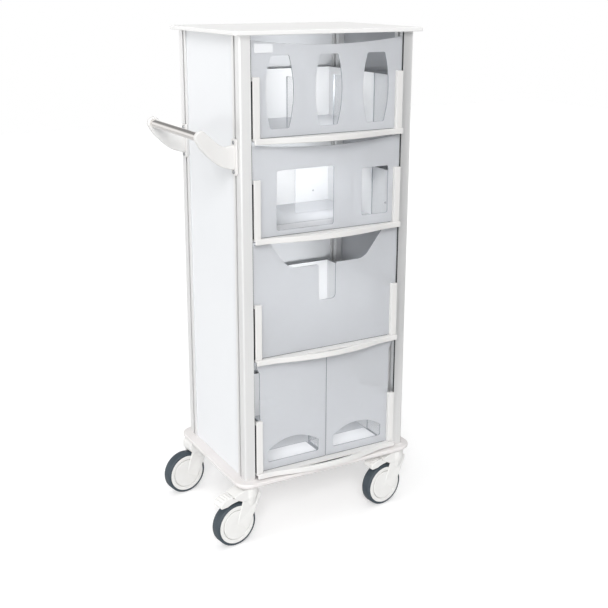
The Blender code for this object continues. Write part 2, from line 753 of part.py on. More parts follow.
def side_returns(low):
    reach = PAN_HALF - PAN_WALL - RETURN_GAP - SHEET / 2
    height = PAN_HEIGHT - SEAT_GAP
    return [upright(-reach, low, RETURN_DEPTH, height), upright(reach, low, RETURN_DEPTH, height)]


def scooped_top(low, high, steps=12):
    """Front sheet outline whose upper edge dips in one shallow arc."""
    dip = [(x, high - TOP_SCOOP * (1 - (x / PANEL_HALF) ** 2)) for x in across(PANEL_HALF, steps)]
    return [(PANEL_HALF, low), (-PANEL_HALF, low)] + dip


def barrel(middle, low, steps=8):
    """Glove opening: flat ends, sides bowed outwards, small rounded corners."""
    half_end = GLOVE_CUT_END / 2
    bulge = (GLOVE_CUT_WIDTH - GLOVE_CUT_END) / 2
    corner = GLOVE_CUT_CORNER
    side = []
    for i in range(steps + 1):
        along = 2 * i / steps - 1
        height = low + GLOVE_CUT_HEIGHT / 2 + along * (GLOVE_CUT_HEIGHT / 2 - corner)
        side.append((half_end + bulge * (1 - along ** 2), height))
    right = [(half_end - corner, low)] + side + [(half_end - corner, low + GLOVE_CUT_HEIGHT)]
    return [(middle + x, z) for x, z in right] + [(middle - x, z) for x, z in reversed(right)]


# Tier 1, glove boxes
low = TRAY_TOPS[0] + SEAT_GAP
high = WORKTOP_BOTTOM - TOP_PANEL_GAP
openings = [barrel(step * GLOVE_PITCH, TRAY_TOPS[0] + GLOVE_CUT_LIFT) for step in (-1, 0, 1)]
fins = [
    upright(side * GLOVE_PITCH / 2, low, RETURN_DEPTH, PAN_HEIGHT - SEAT_GAP) for side in (-1, 1)
]
glove = cut(sheet_front([scooped_top(low, high)]), *[sheet_hole(opening) for opening in openings])
glove = joined(glove, *side_returns(low), *fins)
piece("glove_insert", glove, PETG, slides[0])

# Tier 2, masks beside a narrow compartment
low = TRAY_TOPS[1] + SEAT_GAP
high = TRAY_TOPS[0] - RIM_DROP - PANEL_TOP_GAP
openings = [
    rectangle(left, left + width, TRAY_TOPS[1] + lift, TRAY_TOPS[1] + lift + height, MASK_CUT_CORNER)
    for left, width, lift, height in (
        (MASK_CUT_LEFT, MASK_CUT_WIDTH, MASK_CUT_LIFT, MASK_CUT_HEIGHT),
        (SMALL_CUT_LEFT, SMALL_CUT_WIDTH, SMALL_CUT_LIFT, SMALL_CUT_HEIGHT))
]
divider = upright(MASK_DIVIDER, low, RETURN_DEPTH, PAN_HEIGHT - SEAT_GAP)
mask = joined(sheet_front([scooped_top(low, high)] + openings), *side_returns(low), divider)
piece("mask_insert", mask, PETG, slides[1])

# Tier 3, gowns lifted out through a scoop with a slot for the hand
low = TRAY_TOPS[2] + SEAT_GAP
high = TRAY_TOPS[1] - RIM_DROP - PANEL_TOP_GAP
scoop_floor = TRAY_TOPS[2] + GOWN_SCOOP_FLOOR_LIFT
slot_floor = TRAY_TOPS[2] + GOWN_SLOT_LIFT
slot_half = GOWN_SLOT_WIDTH / 2
gown_outline = rounded([
    (-PANEL_HALF, low, 0), (PANEL_HALF, low, 0), (PANEL_HALF, high, 0),
    (GOWN_SCOOP_TOP_HALF, high, GOWN_SLOT_CORNER / 2),
    (GOWN_SCOOP_FLOOR_HALF, scoop_floor, GOWN_SCOOP_CORNER),
    (slot_half, scoop_floor, GOWN_SLOT_CORNER / 2),
    (slot_half, slot_floor, GOWN_SLOT_CORNER), (-slot_half, slot_floor, GOWN_SLOT_CORNER),
    (-slot_half, scoop_floor, GOWN_SLOT_CORNER / 2),
    (-GOWN_SCOOP_FLOOR_HALF, scoop_floor, GOWN_SCOOP_CORNER),
    (-GOWN_SCOOP_TOP_HALF, high, GOWN_SLOT_CORNER / 2), (-PANEL_HALF, high, 0)])
gown = joined(sheet_front([gown_outline]), *side_returns(low))
piece("gown_insert", gown, PETG, slides[2])


# Tier 4, two bins with arched openings
def arch(middle, floor, steps=8):
    half = ARCH_WIDTH / 2
    crown = []
    for i in range(steps + 1):
        x = half * (1 - 2 * i / steps)
        crown.append((middle + x, floor + ARCH_SIDE + ARCH_RISE * (1 - (x / half) ** 2)))
    foot = [
        (middle - half, floor + ARCH_CORNER), (middle - half + ARCH_CORNER, floor),
        (middle + half - ARCH_CORNER, floor), (middle + half, floor + ARCH_CORNER),
    ]
    return foot + crown


def bin_shape(side, low, high):
    inner = BIN_SEAM / 2
    outer = TRAY_HALF - BIN_SIDE_INSET
    ear = TRAY_HALF - BIN_EAR_INSET
    shoulder = high - BIN_EAR_HEIGHT
    outline = [
        (inner, low), (outer, low), (outer, shoulder - BIN_EAR_SLOPE), (ear, shoulder),
        (ear, high), (inner, high),
    ]
    opening = arch((inner + outer) / 2, low + ARCH_LIFT)
    front = sheet_front([mirrored(outline, side), mirrored(opening, side)])
    wall_height = PAN_HEIGHT - SEAT_GAP
    reach = PAN_HALF - PAN_WALL - RETURN_GAP - SHEET / 2
    seam_wall = upright(side * (inner + SHEET / 2), low, RETURN_DEPTH, wall_height)
    outer_wall = upright(side * reach, low, RETURN_DEPTH, wall_height)
    return joined(front, seam_wall, outer_wall)


low = TRAY_TOPS[3] + SEAT_GAP
high = TRAY_TOPS[2] - RIM_DROP - PANEL_TOP_GAP
for place, side in (("left", -1), ("right", 1)):
    piece("bin_" + place, bin_shape(side, low, high), PETG, slides[3])


# Casters: wheel, axle, fork and stem, each modelled about its own axis
def wheel_profile(radius, half_width, bore):
    """Rim with a hub recess on each side, so the fork discs lie flush."""
    return [
        (bore, HUB_HALF_WIDTH), (HUB_RECESS_RADIUS, HUB_HALF_WIDTH), (HUB_RECESS_RADIUS, half_width),
        (radius, half_width), (radius, -half_width), (HUB_RECESS_RADIUS, -half_width),
        (HUB_RECESS_RADIUS, -HUB_HALF_WIDTH), (bore, -HUB_HALF_WIDTH),
    ]


half_step = math.pi / WHEEL_STEPS
flat_scale = 1 / math.cos(half_step)
rim_radius = WHEEL_RADIUS - TYRE_SECTION
tyre_half = TYRE_WIDTH / 2


def tyre_shape():
    """Tyre whose facets touch the tread circle, with one facet flat on the floor."""
    tread = WHEEL_RADIUS * flat_scale
    inside = (rim_radius + SEAT_GAP) * flat_scale
    shoulder = TYRE_SHOULDER
    profile = [
        (inside, tyre_half), (tread - shoulder, tyre_half), (tread, tyre_half - shoulder),
        (tread, -tyre_half + shoulder), (tread - shoulder, -tyre_half), (inside, -tyre_half),
    ]
    return onto_axle(turned(profile, twist=half_step))


def rim_shape():
    profile = wheel_profile(rim_radius, tyre_half, AXLE_RADIUS + SEAT_GAP)
    return onto_axle(turned(profile, twist=half_step))


def axle_shape():
    half = HUB_HALF_WIDTH + AXLE_SOCKET
    return onto_axle(cylinder(AXLE_RADIUS, -half, half, 24))


neck_top = BASE_BOTTOM - 2 * SEAT_GAP - STEM_PLATE_THICKNESS
disc_inside = HUB_HALF_WIDTH + SEAT_GAP
disc_outside = disc_inside + FORK_DISC_THICKNESS
disc_radius = HUB_RECESS_RADIUS - FORK_DISC_GAP
shoulder_height = WHEEL_DIAMETER + FORK_SHOULDER_LIFT


def fork_arms():
    """Solid from the neck down to the hub, pinched to a crease at the axle."""
    arc_radius = disc_radius - FORK_ARM_EDGE
    shape = bmesh.new()
    for step in range(NECK_STEPS):
        angle = 2 * math.pi * step / NECK_STEPS
        for radius, height in (
                (FORK_SHOULDER_RADIUS, shoulder_height),
                (FORK_NECK_RADIUS - FORK_ARM_EDGE, shoulder_height + FORK_SHOULDER_LIFT)):
            shape.verts.new((radius * math.cos(angle), radius * math.sin(angle), height))
    for side in (-1, 1):
        shape.verts.new((-CASTER_TRAIL, side * (disc_outside + FORK_ARM_RISE), WHEEL_RADIUS))
        for degrees in range(-35, 66, 20):
            angle = math.radians(degrees)
            shape.verts.new((
                -CASTER_TRAIL + arc_radius * math.cos(angle), side * (disc_outside + FORK_ARM_EDGE),
                WHEEL_RADIUS + arc_radius * math.sin(angle)))
    hull = bmesh.ops.convex_hull(shape, input=shape.verts)
    loose = [item for item in hull["geom_interior"] + hull["geom_unused"]
             if isinstance(item, bmesh.types.BMVert)]
    bmesh.ops.delete(shape, geom=list(set(loose)), context="VERTS")
    mesh = bpy.data.meshes.new("arms")
    shape.to_mesh(mesh)
    shape.free()
    arms = bpy.data.objects.new("arms", mesh)
    parts.objects.link(arms)
    return baked(arms)


def brow_shape():
    """Short hood that closes the housing over the tyre where there is no pedal."""
    tip_low = BROW_TOP - BROW_TIP_THICKNESS
    crown = WHEEL_DIAMETER
    half = BROW_WIDTH / 2
    outline = [
        (-BROW_REACH, tip_low), (-FORK_NECK_RADIUS, crown - FORK_CROWN_GAP), (0, crown),
        (0, BROW_TOP), (-BROW_REACH, BROW_TOP)]
    return extruded([outline], -half, half, "XZ", BROW_ROUNDING)


def fork_shape(brow=False):
    discs = onto_axle(cylinder(disc_radius, -disc_outside, disc_outside, WHEEL_STEPS))
    neck = cylinder(FORK_NECK_RADIUS, shoulder_height + FORK_ARM_EDGE, neck_top, NECK_STEPS)
    fork = joined(fork_arms(), neck, moved(discs, -CASTER_TRAIL, 0, WHEEL_RADIUS))
    if brow:
        fork = joined(fork, brow_shape())
    room = WHEEL_RADIUS + FORK_CROWN_GAP
    wide = tyre_half + SEAT_GAP
    step_radius = HUB_RECESS_RADIUS - SEAT_GAP * 2
    wheel_room = onto_axle(turned([
        (0, disc_inside), (step_radius, disc_inside), (step_radius, wide), (room, wide),
        (room, -wide), (step_radius, -wide), (step_radius, -disc_inside), (0, -disc_inside)]))
    socket_half = HUB_HALF_WIDTH + AXLE_SOCKET + SEAT_GAP
    socket = onto_axle(cylinder(AXLE_RADIUS + SEAT_GAP, -socket_half, socket_half, 24))
    bore = cylinder(
        STEM_RADIUS + SEAT_GAP, BASE_BOTTOM - STEM_REACH_DOWN - SEAT_GAP, BASE_BOTTOM, STEM_STEPS)
    return cut(
        fork, moved(wheel_room, -CASTER_TRAIL, 0, WHEEL_RADIUS),
        moved(socket, -CASTER_TRAIL, 0, WHEEL_RADIUS), bore)


def stem_shape():
    """Stem with its bearing plate, pressed into the base and running in the fork."""
    plate_top = BASE_BOTTOM - SEAT_GAP
    plate_low = plate_top - STEM_PLATE_THICKNESS
    return turned([
        (0, stem_top), (STEM_RADIUS, stem_top), (STEM_RADIUS, plate_top),
        (STEM_PLATE_RADIUS, plate_top), (STEM_PLATE_RADIUS, plate_low), (STEM_RADIUS, plate_low),
        (STEM_RADIUS, BASE_BOTTOM - STEM_REACH_DOWN), (0, BASE_BOTTOM - STEM_REACH_DOWN)], STEM_STEPS)


pivot_z = neck_top - PEDAL_PIVOT_BELOW_PLATE
pivot_x = -FORK_NECK_RADIUS - SEAT_GAP - PEDAL_BARREL_RADIUS


def pedal_shape():
    """Brake pedal about its pivot: barrel, arched plate and foot ribs."""
    barrel_radius = PEDAL_BARREL_RADIUS
    axle_x = -CASTER_TRAIL - pivot_x
    axle_z = WHEEL_RADIUS - pivot_z
    clear = WHEEL_RADIUS + PEDAL_TYRE_GAP
    under = []
    for degrees in (97, 107, 115):
        angle = math.radians(degrees)
        under.append((axle_x + clear * math.cos(angle), axle_z + clear * math.sin(angle)))
    tip_x = -PEDAL_REACH
    tip_z = -PEDAL_TIP_DROP
    nose = (tip_x + PEDAL_NOSE, tip_z + PEDAL_NOSE_HEIGHT)
    crest = (-PEDAL_FLAT, barrel_radius)
    tip = [(tip_x + PEDAL_NOSE, tip_z), (tip_x, tip_z + PEDAL_ROUNDING), nose]
    outline = [(0, -barrel_radius / 2)] + under + tip + [crest, (0, barrel_radius)]
    half = PEDAL_WIDTH / 2
    plate = extruded([outline], -half, half, "XZ", PEDAL_ROUNDING / 2)
    pin = onto_axle(cylinder(barrel_radius, -half, half, 20))
    pedal = joined(plate, pin)
    for rib in range(PEDAL_RIB_COUNT):
        share = (rib + 0.4) / PEDAL_RIB_COUNT
        rib_x = nose[0] + share * (crest[0] - nose[0])
        rib_z = nose[1] + share * (crest[1] - nose[1])
        bead = onto_axle(cylinder(PEDAL_RIB_RADIUS, -0.8 * half, 0.8 * half, 10))
        pedal = joined(pedal, moved(bead, rib_x, 0, rib_z))
    return pedal


models = {}
for name, (x, y) in CASTER_PLACES.items():
    swivel = placeholder("caster_" + name, (x, y, 0), CASTER_TURN, cart)
    axle_place = (-CASTER_TRAIL, 0, WHEEL_RADIUS)
    brow = name in ("bl", "br")
    if not models:
        models["stem"] = piece("stem_fl", stem_shape(), ZINC, swivel, smooth=35)
        models["fork"] = piece("fork_fl", fork_shape(), CASTER_PLASTIC, swivel, smooth=30)
        models["axle"] = piece("axle_fl", axle_shape(), ZINC, swivel, axle_place, smooth=35)
        models["rim"] = piece("rim_fl", rim_shape(), CASTER_PLASTIC, swivel, axle_place, smooth=35)
        models["tyre"] = piece("tyre_fl", tyre_shape(), TYRE_RUBBER, swivel, axle_place, smooth=35)
        continue
    repeated("stem_" + name, models["stem"], swivel)
    if brow and "brow" not in models:
        models["brow"] = piece("fork_" + name, fork_shape(True), CASTER_PLASTIC, swivel, smooth=30)
    else:
        repeated("fork_" + name, models["brow" if brow else "fork"], swivel)
    repeated("axle_" + name, models["axle"], swivel, axle_place)
    repeated("rim_" + name, models["rim"], swivel, axle_place)
    repeated("tyre_" + name, models["tyre"], swivel, axle_place)

pivot = (pivot_x, 0, pivot_z)
pedal = piece(
    "pedal_fl", pedal_shape(), CASTER_PLASTIC, bpy.data.objects["caster_fl"], pivot, smooth=30)
repeated("pedal_fr", pedal, bpy.data.objects["caster_fr"], pivot)
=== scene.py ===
"""Isolation cart, dressed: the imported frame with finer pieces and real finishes, in a pale studio."""

import json
import math

import bmesh
import bpy
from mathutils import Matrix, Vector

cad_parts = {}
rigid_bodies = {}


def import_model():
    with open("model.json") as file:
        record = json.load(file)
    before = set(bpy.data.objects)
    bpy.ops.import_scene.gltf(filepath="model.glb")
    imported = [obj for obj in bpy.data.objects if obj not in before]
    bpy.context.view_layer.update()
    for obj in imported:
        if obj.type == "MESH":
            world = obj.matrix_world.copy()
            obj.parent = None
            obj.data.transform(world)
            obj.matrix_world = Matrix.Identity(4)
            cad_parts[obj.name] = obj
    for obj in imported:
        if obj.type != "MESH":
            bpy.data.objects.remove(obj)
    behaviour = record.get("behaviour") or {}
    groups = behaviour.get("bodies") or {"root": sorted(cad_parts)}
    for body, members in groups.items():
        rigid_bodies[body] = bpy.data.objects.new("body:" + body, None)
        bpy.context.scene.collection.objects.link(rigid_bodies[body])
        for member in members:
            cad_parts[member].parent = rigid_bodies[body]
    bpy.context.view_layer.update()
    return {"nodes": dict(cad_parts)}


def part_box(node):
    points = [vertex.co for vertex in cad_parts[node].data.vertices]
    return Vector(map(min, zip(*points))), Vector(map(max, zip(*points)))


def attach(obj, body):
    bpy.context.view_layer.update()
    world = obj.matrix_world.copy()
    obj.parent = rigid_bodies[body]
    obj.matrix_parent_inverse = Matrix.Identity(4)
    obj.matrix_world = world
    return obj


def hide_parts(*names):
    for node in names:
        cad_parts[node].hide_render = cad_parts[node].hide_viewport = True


for leftover in list(bpy.data.objects):
    bpy.data.objects.remove(leftover)
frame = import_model()
nodes = frame["nodes"]


# Base: a thick tray of off-white ABS that carries the posts, injection moulded.
# A round-edged flange overhangs an inset skirt; it is hollow underneath, with
# crossed ribs and a round boss over each caster stem.
BASE_CORNER = 0.042
BASE_FLANGE = 0.010
BASE_EDGE = 0.0025
SKIRT_INSET = 0.006
SKIRT_DROP = 0.006
BASE_WALL = 0.007
POCKET_RISE = 0.011
BASE_RIB = 0.004
RIB_SINK = 0.001
RIB_END = SKIRT_INSET + BASE_WALL - RIB_SINK
RIB_LIFT = 0.001
CROSS_RIB_LIFT = 0.0015
RIB_EDGE = 0.0006
BOSS_RADIUS = 0.033
WELD = 0.00002
NOISE_LOW = 0.3
NOISE_HIGH = 0.7


def alone(*pieces):
    """Goes back to object mode with only these pieces selected, the last one active."""
    if bpy.context.mode != "OBJECT":
        bpy.ops.object.mode_set(mode="OBJECT")
    bpy.ops.object.select_all(action="DESELECT")
    for item in pieces:
        item.select_set(True)
        bpy.context.view_layer.objects.active = item


def baked(piece):
    """Puts a piece's place, turn and size into its mesh."""
    alone(piece)
    bpy.ops.object.transform_apply(location=True, rotation=True, scale=True)
    return piece


def applied(name):
    """Names the primitive just added and puts its place and size into its mesh."""
    made = bpy.context.active_object
    made.name = name
    made.data.name = name
    return baked(made)


def block(name, low, high):
    """A cube primitive stretched from one corner to the other."""
    alone()
    middle = [(a + b) / 2 for a, b in zip(low, high)]
    size = [b - a for a, b in zip(low, high)]
    bpy.ops.mesh.primitive_cube_add(size=1, location=middle, scale=size)
    return applied(name)


def drum(name, radius, middle, length, along="Z", points=64):
    """A cylinder primitive along the upright or the front-to-back axis."""
    alone()
    turn = (math.pi / 2, 0, 0) if along == "Y" else (0, 0, 0)
    bpy.ops.mesh.primitive_cylinder_add(
        vertices=points, radius=radius, depth=length, location=middle, rotation=turn)
    return applied(name)


def pick(piece, kind, test):
    """Opens a piece in edit mode with the faces, edges or points selected that pass the test."""
    alone(piece)
    bpy.ops.object.mode_set(mode="EDIT")
    bpy.ops.mesh.select_mode(type=kind)
    bpy.ops.mesh.select_all(action="DESELECT")
    shape = bmesh.from_edit_mesh(piece.data)
    for item in {"VERT": shape.verts, "EDGE": shape.edges, "FACE": shape.faces}[kind]:
        if test(item):
            item.select_set(True)
    shape.select_flush_mode()
    bmesh.update_edit_mesh(piece.data)


def runs(edge, axis):
    """True for an edge that runs along the axis 0, 1 or 2."""
    step = edge.verts[1].co - edge.verts[0].co
    return abs(step[axis]) > 0.99 * step.length


def extrude(x, y, z):
    """Extrudes the faces that are selected in edit mode."""
    bpy.ops.mesh.extrude_region_move(TRANSFORM_OT_translate={"value": (x, y, z)})


def round_edges(radius, steps):
    """Rounds the edges that are selected in edit mode."""
    bpy.ops.mesh.bevel(offset=radius, offset_type="OFFSET", segments=steps, affect="EDGES")


def modify(piece, kind, **settings):
    """Adds one modifier to a piece and applies it."""
    alone(piece)
    made = piece.modifiers.new(kind, kind)
    for name, value in settings.items():
        setattr(made, name, value)
    bpy.ops.object.modifier_apply(modifier=made.name)


def settle(piece, rounding=0.0, steps=2, corner=40):
    """Merges doubles, turns faces outwards, rounds the hard edges and shades the rest smooth."""
    pick(piece, "VERT", lambda point: True)
    bpy.ops.mesh.remove_doubles(threshold=WELD)
    bpy.ops.mesh.normals_make_consistent(inside=False)
    if rounding:
        modify(piece, "BEVEL", width=rounding, segments=steps, limit_method="ANGLE",
               angle_limit=math.radians(corner), use_clamp_overlap=True)
    alone(piece)
    bpy.ops.object.shade_smooth_by_angle(angle=math.radians(corner))
    if rounding:
        modify(piece, "WEIGHTED_NORMAL", keep_sharp=True)


def join(piece, *others):
    """Makes the others part of the first piece's mesh."""
    alone(*others, piece)
    bpy.ops.object.join()


base_low, base_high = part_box("base")
flange_bottom = base_high[2] - BASE_FLANGE
base = block("base_moulding", (base_low[0], base_low[1], flange_bottom), base_high)
pick(base, "EDGE", lambda edge: runs(edge, 2))
round_edges(BASE_CORNER, 14)
pick(base, "FACE", lambda face: face.normal.z < -0.9)
bpy.ops.mesh.inset(thickness=SKIRT_INSET)
extrude(0, 0, -SKIRT_DROP)
bpy.ops.mesh.inset(thickness=BASE_WALL)
extrude(0, 0, POCKET_RISE)
settle(base, BASE_EDGE, 4)
pocket_top = base_low[2] + POCKET_RISE
base_x = (base_low[0] + base_high[0]) / 2
base_y = (base_low[1] + base_high[1]) / 2
long_rib = block(
    "long_rib", (base_low[0] + RIB_END, base_y - BASE_RIB / 2, base_low[2] + RIB_LIFT),
    (base_high[0] - RIB_END, base_y + BASE_RIB / 2, pocket_top + RIB_SINK))
cross_rib = block(
    "cross_rib", (base_x - BASE_RIB / 2, base_low[1] + RIB_END, base_low[2] + CROSS_RIB_LIFT),
    (base_x + BASE_RIB / 2, base_high[1] - RIB_END, pocket_top + RIB_SINK))
stems = {}
for corner in ("fl", "fr", "bl", "br"):
    stem_low, stem_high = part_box("stem_" + corner)
    stems[corner] = ((stem_low[0] + stem_high[0]) / 2, (stem_low[1] + stem_high[1]) / 2)
bosses = [
    drum("boss", BOSS_RADIUS, (x, y, (base_low[2] + pocket_top) / 2), POCKET_RISE)
    for x, y in stems.values()
]
for rib in [long_rib, cross_rib] + bosses:
    settle(rib, RIB_EDGE)
join(base, long_rib, cross_rib, *bosses)


def linear(code):
    """sRGB hex colour as linear red, green, blue, alpha."""
    shares = [int(code[i:i + 2], 16) / 255 for i in (1, 3, 5)]
    return tuple(s / 12.92 if s <= 0.04045 else ((s + 0.055) / 1.055) ** 2.4 for s in shares) + (1.0,)


def add_node(material, kind, settings=None, links=None):
    """Adds one shader node with its settings and the links that feed it."""
    made = material.node_tree.nodes.new("ShaderNode" + kind)
    for name, value in (settings or {}).items():
        if name in made.inputs:
            made.inputs[name].default_value = value
        else:
            setattr(made, name, value)
    for name, source in (links or {}).items():
        material.node_tree.links.new(source, made.inputs[name])
    return made


def finish(name, tones, patch, grain=None, gloss=None, relief=None, stretch=None, sockets=None):
    """A surface that drifts between two tones from patch to patch, with a finer grain where it has one.

    Patch and grain each give a size in metres and a noise detail. Gloss names the one that roughness
    follows, with its least and its most. Relief is the strength and depth of the bump, which follows
    the grain, or the patches where there is none. Stretch draws the pattern out along an axis.
    """
    material = bpy.data.materials.new(name)
    material.use_nodes = True
    material.node_tree.nodes.clear()
    place = add_node(material, "TexCoord").outputs["Object"]
    if stretch:
        place = add_node(material, "Mapping", {"Scale": stretch}, {"Vector": place}).outputs["Vector"]
    patterns = {}
    for use, size in (("patch", patch), ("grain", grain)):
        if size:
            noise = add_node(
                material, "TexNoise", {"Scale": 1 / size[0], "Detail": size[1]}, {"Vector": place})
        patterns[use] = noise.outputs["Fac"]
    tint = add_node(
        material, "MixRGB", {"Color1": linear(tones[0]), "Color2": linear(tones[1])},
        {"Fac": patterns["patch"]})
    feeds = {"Base Color": tint.outputs["Color"]}
    if gloss:
        spread = add_node(
            material, "MapRange",
            {"From Min": NOISE_LOW, "From Max": NOISE_HIGH, "To Min": gloss[1], "To Max": gloss[2]},
            {"Value": patterns[gloss[0]]})
        feeds["Roughness"] = spread.outputs["Result"]
    if relief:
        bump = add_node(
            material, "Bump", {"Strength": relief[0], "Distance": relief[1]}, {"Height": patterns["grain"]})
        feeds["Normal"] = bump.outputs["Normal"]
    shader = add_node(material, "BsdfPrincipled", sockets, feeds)
    add_node(material, "OutputMaterial", links={"Surface": shader.outputs["BSDF"]})
    return material


def dressed(piece, material):
    """Gives a piece one material all over."""
    piece.data.materials.clear()
    piece.data.materials.append(material)


# ABS from a spark-eroded mould: an even off-white with a fine matt grain and
# slightly uneven gloss. Real grain is about 0.2 mm, drawn at 0.8 mm to show.
moulded_abs = finish(
    "abs_injection_moulded", ("#DEDAD9", "#E6E3E2"), patch=(0.090, 2.0), grain=(0.0008, 3.0),
    gloss=("grain", 0.36, 0.48), relief=(0.2, 0.0001), sockets={"IOR": 1.53})

dressed(base, moulded_abs)
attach(base, "cart")
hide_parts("base")


# Casters: 125 mm swivel wheels. A slate tread is moulded onto a white nylon rim,
# and a hooded nylon fork covers the hub with a flush round disc on each side.
# All are modelled once about the stem, trailing to -X, then set on each stem.
CASTER_TURN = math.radians(8)
TRAIL = 0.048
WHEEL_RADIUS = 0.0625
TREAD_WIDTH = 0.032
TREAD_SECTION = 0.0075
TREAD_SHOULDER = 0.006
RIM_GAP = 0.0003
WHEEL_RIM_EDGE = 0.0012
HUB_RECESS = 0.0435
HUB_DEPTH = 0.006
DISC_RADIUS = 0.0419
DISC_INSIDE = 0.0123
DISC_OUTSIDE = 0.0168
DISC_EDGE = 0.0010
NEAR = 0.0005
axle_place = (-TRAIL, 0, WHEEL_RADIUS)

tyre = drum("tread", WHEEL_RADIUS, axle_place, TREAD_WIDTH, "Y", 96)
pick(tyre, "FACE", lambda face: abs(face.normal.y) > 0.9)
bpy.ops.mesh.inset(thickness=TREAD_SECTION)
bpy.ops.mesh.bridge_edge_loops()


def from_axle(point):
    """Distance from the axle, seen from the side."""
    return math.hypot(point[0] - axle_place[0], point[2] - axle_place[2])


pick(tyre, "EDGE", lambda edge: not runs(edge, 1)
     and all(from_axle(point.co) > WHEEL_RADIUS - NEAR for point in edge.verts))
round_edges(TREAD_SHOULDER, 6)
settle(tyre)

rim = drum("rim", WHEEL_RADIUS - TREAD_SECTION - RIM_GAP, axle_place, TREAD_WIDTH, "Y", 96)
pick(rim, "FACE", lambda face: abs(face.normal.y) > 0.9)
bpy.ops.mesh.inset(thickness=WHEEL_RADIUS - TREAD_SECTION - RIM_GAP - HUB_RECESS)
for side in (-1, 1):
    pick(rim, "FACE", lambda face: face.normal.y * side > 0.9
         and from_axle(face.calc_center_median()) < NEAR)
    extrude(0, -side * HUB_DEPTH, 0)
settle(rim, WHEEL_RIM_EDGE, 3)

# Fork: flat legs, the hull of a shoulder block and the hub's raised sectors, hollowed
# for the wheel, under a round neck that flares out of them.
NECK_RADIUS = 0.0275
NECK_TOP = 0.1612
NECK_BOTTOM = 0.134
NECK_EDGE = 0.002
FLARE_RADIUS = 0.0210
FLARE_BOTTOM = 0.110
FLARE_OVERLAP = 0.002
SHOULDER_LOW = (-0.0265, -0.0205, 0.128)
SHOULDER_HIGH = (0.0265, 0.0205, 0.141)
SECTOR_RADIUS = 0.0404
SECTOR_FACE = 0.0194
SECTOR_DIP = 0.0025
SECTOR_FROM = -35
SECTOR_TO = 65
WHEEL_ROOM = 0.0655
WHEEL_ROOM_HALF = 0.0163
DISC_ROOM_HALF = 0.0138
HOOD_HALF = 0.0232
CHEEK_INSIDE = 0.0202
FORK_VOXEL = 0.0011


def disc_angle(point):
    """Angle about the axle in degrees, counted up from the level line towards the stem."""
    return math.degrees(math.atan2(point[2] - axle_place[2], point[0] - axle_place[0]))


fork = block("fork", SHOULDER_LOW, SHOULDER_HIGH)
for side in (-1, 1):
    alone()
    bpy.ops.mesh.primitive_cone_add(
        vertices=72, radius1=SECTOR_RADIUS, radius2=0, depth=SECTOR_DIP,
        location=(axle_place[0], side * (SECTOR_FACE - SECTOR_DIP / 2), axle_place[2]),
        rotation=(side * math.pi / 2, 0, 0))
    join(fork, applied("hub_sector"))


def moulded(piece, voxel, smoothing, keep):
    """Remeshes a joined shape into one skin, softens its edges as a mould does, and thins it."""
    modify(piece, "REMESH", mode="VOXEL", voxel_size=voxel)
    modify(piece, "SMOOTH", factor=0.5, iterations=smoothing)
    modify(piece, "DECIMATE", ratio=keep)
    alone(piece)
    bpy.ops.object.shade_smooth()


def carve(piece, *cutters):
    """Cuts each of the others out of a piece."""
    for cutter in cutters:
        modify(piece, "BOOLEAN", operation="DIFFERENCE", solver="EXACT", object=cutter)
        bpy.data.objects.remove(cutter)


pick(fork, "VERT", lambda point: from_axle(point.co) > NEAR and point.co.z < SHOULDER_LOW[2] - NEAR
     and not SECTOR_FROM <= disc_angle(point.co) <= SECTOR_TO)
bpy.ops.mesh.delete(type="VERT")
pick(fork, "VERT", lambda point: True)
bpy.ops.mesh.convex_hull()
settle(fork)
neck = drum("neck", NECK_RADIUS, (0, 0, (NECK_BOTTOM + NECK_TOP) / 2), NECK_TOP - NECK_BOTTOM, "Z", 64)
settle(neck, NECK_EDGE, 3)
alone()
bpy.ops.mesh.primitive_cone_add(
    vertices=64, radius1=FLARE_RADIUS, radius2=NECK_RADIUS,
    depth=NECK_BOTTOM - FLARE_BOTTOM + FLARE_OVERLAP,
    location=(0, 0, (NECK_BOTTOM + FLARE_BOTTOM + FLARE_OVERLAP) / 2))
join(neck, applied("flare"))


def copied(piece, name):
    """A second piece with a mesh of its own."""
    twin = piece.copy()
    twin.data = piece.data.copy()
    twin.name = name
    twin.data.name = name
    bpy.context.scene.collection.objects.link(twin)
    return twin


def slab(name, outline, low, high, along="Y"):
    """A plate cut to an outline, upright and facing the front or flat and facing up.

    It is a filled circle primitive set out along the outline, then extruded.
    """
    alone()
    bpy.ops.mesh.primitive_circle_add(vertices=len(outline), fill_type="NGON")
    made = applied(name)
    for point, (u, v) in zip(made.data.vertices, outline):
        point.co = (u, low, v) if along == "Y" else (u, v, low)
    pick(made, "FACE", lambda face: True)
    extrude(0, high - low if along == "Y" else 0, 0 if along == "Y" else high - low)
    pick(made, "FACE", lambda face: True)
    bpy.ops.mesh.normals_make_consistent(inside=False)
    alone(made)
    return made


# A hood slopes from the neck towards the tread: in front its cheeks enclose the pedal's
# root, and at the rear, where there is no pedal, it is shorter but solid.
HOOD_FRONT = [(-0.058, 0.1452), (0, 0.1452), (0, 0.1605), (-0.0285, 0.1605), (-0.058, 0.1525)]
HOOD_CHEEK = [
    (-0.052, 0.1400), (-0.040, 0.1335), (-0.0265, 0.1280), (-0.005, 0.1280), (-0.005, 0.1520),
    (-0.056, 0.1500)]
HOOD_REAR = [(-0.036, 0.134), (-0.0275, 0.122), (0, 0.125), (0, 0.1605), (-0.030, 0.1605), (-0.036, 0.1520)]
rear_fork = copied(fork, "rear_fork")
join(rear_fork, copied(neck, "rear_neck"), slab("hood", HOOD_REAR, -HOOD_HALF, HOOD_HALF))
join(fork, neck, slab("hood", HOOD_FRONT, -HOOD_HALF, HOOD_HALF),
     slab("cheek", HOOD_CHEEK, -HOOD_HALF, -CHEEK_INSIDE),
     slab("cheek", HOOD_CHEEK, CHEEK_INSIDE, HOOD_HALF))
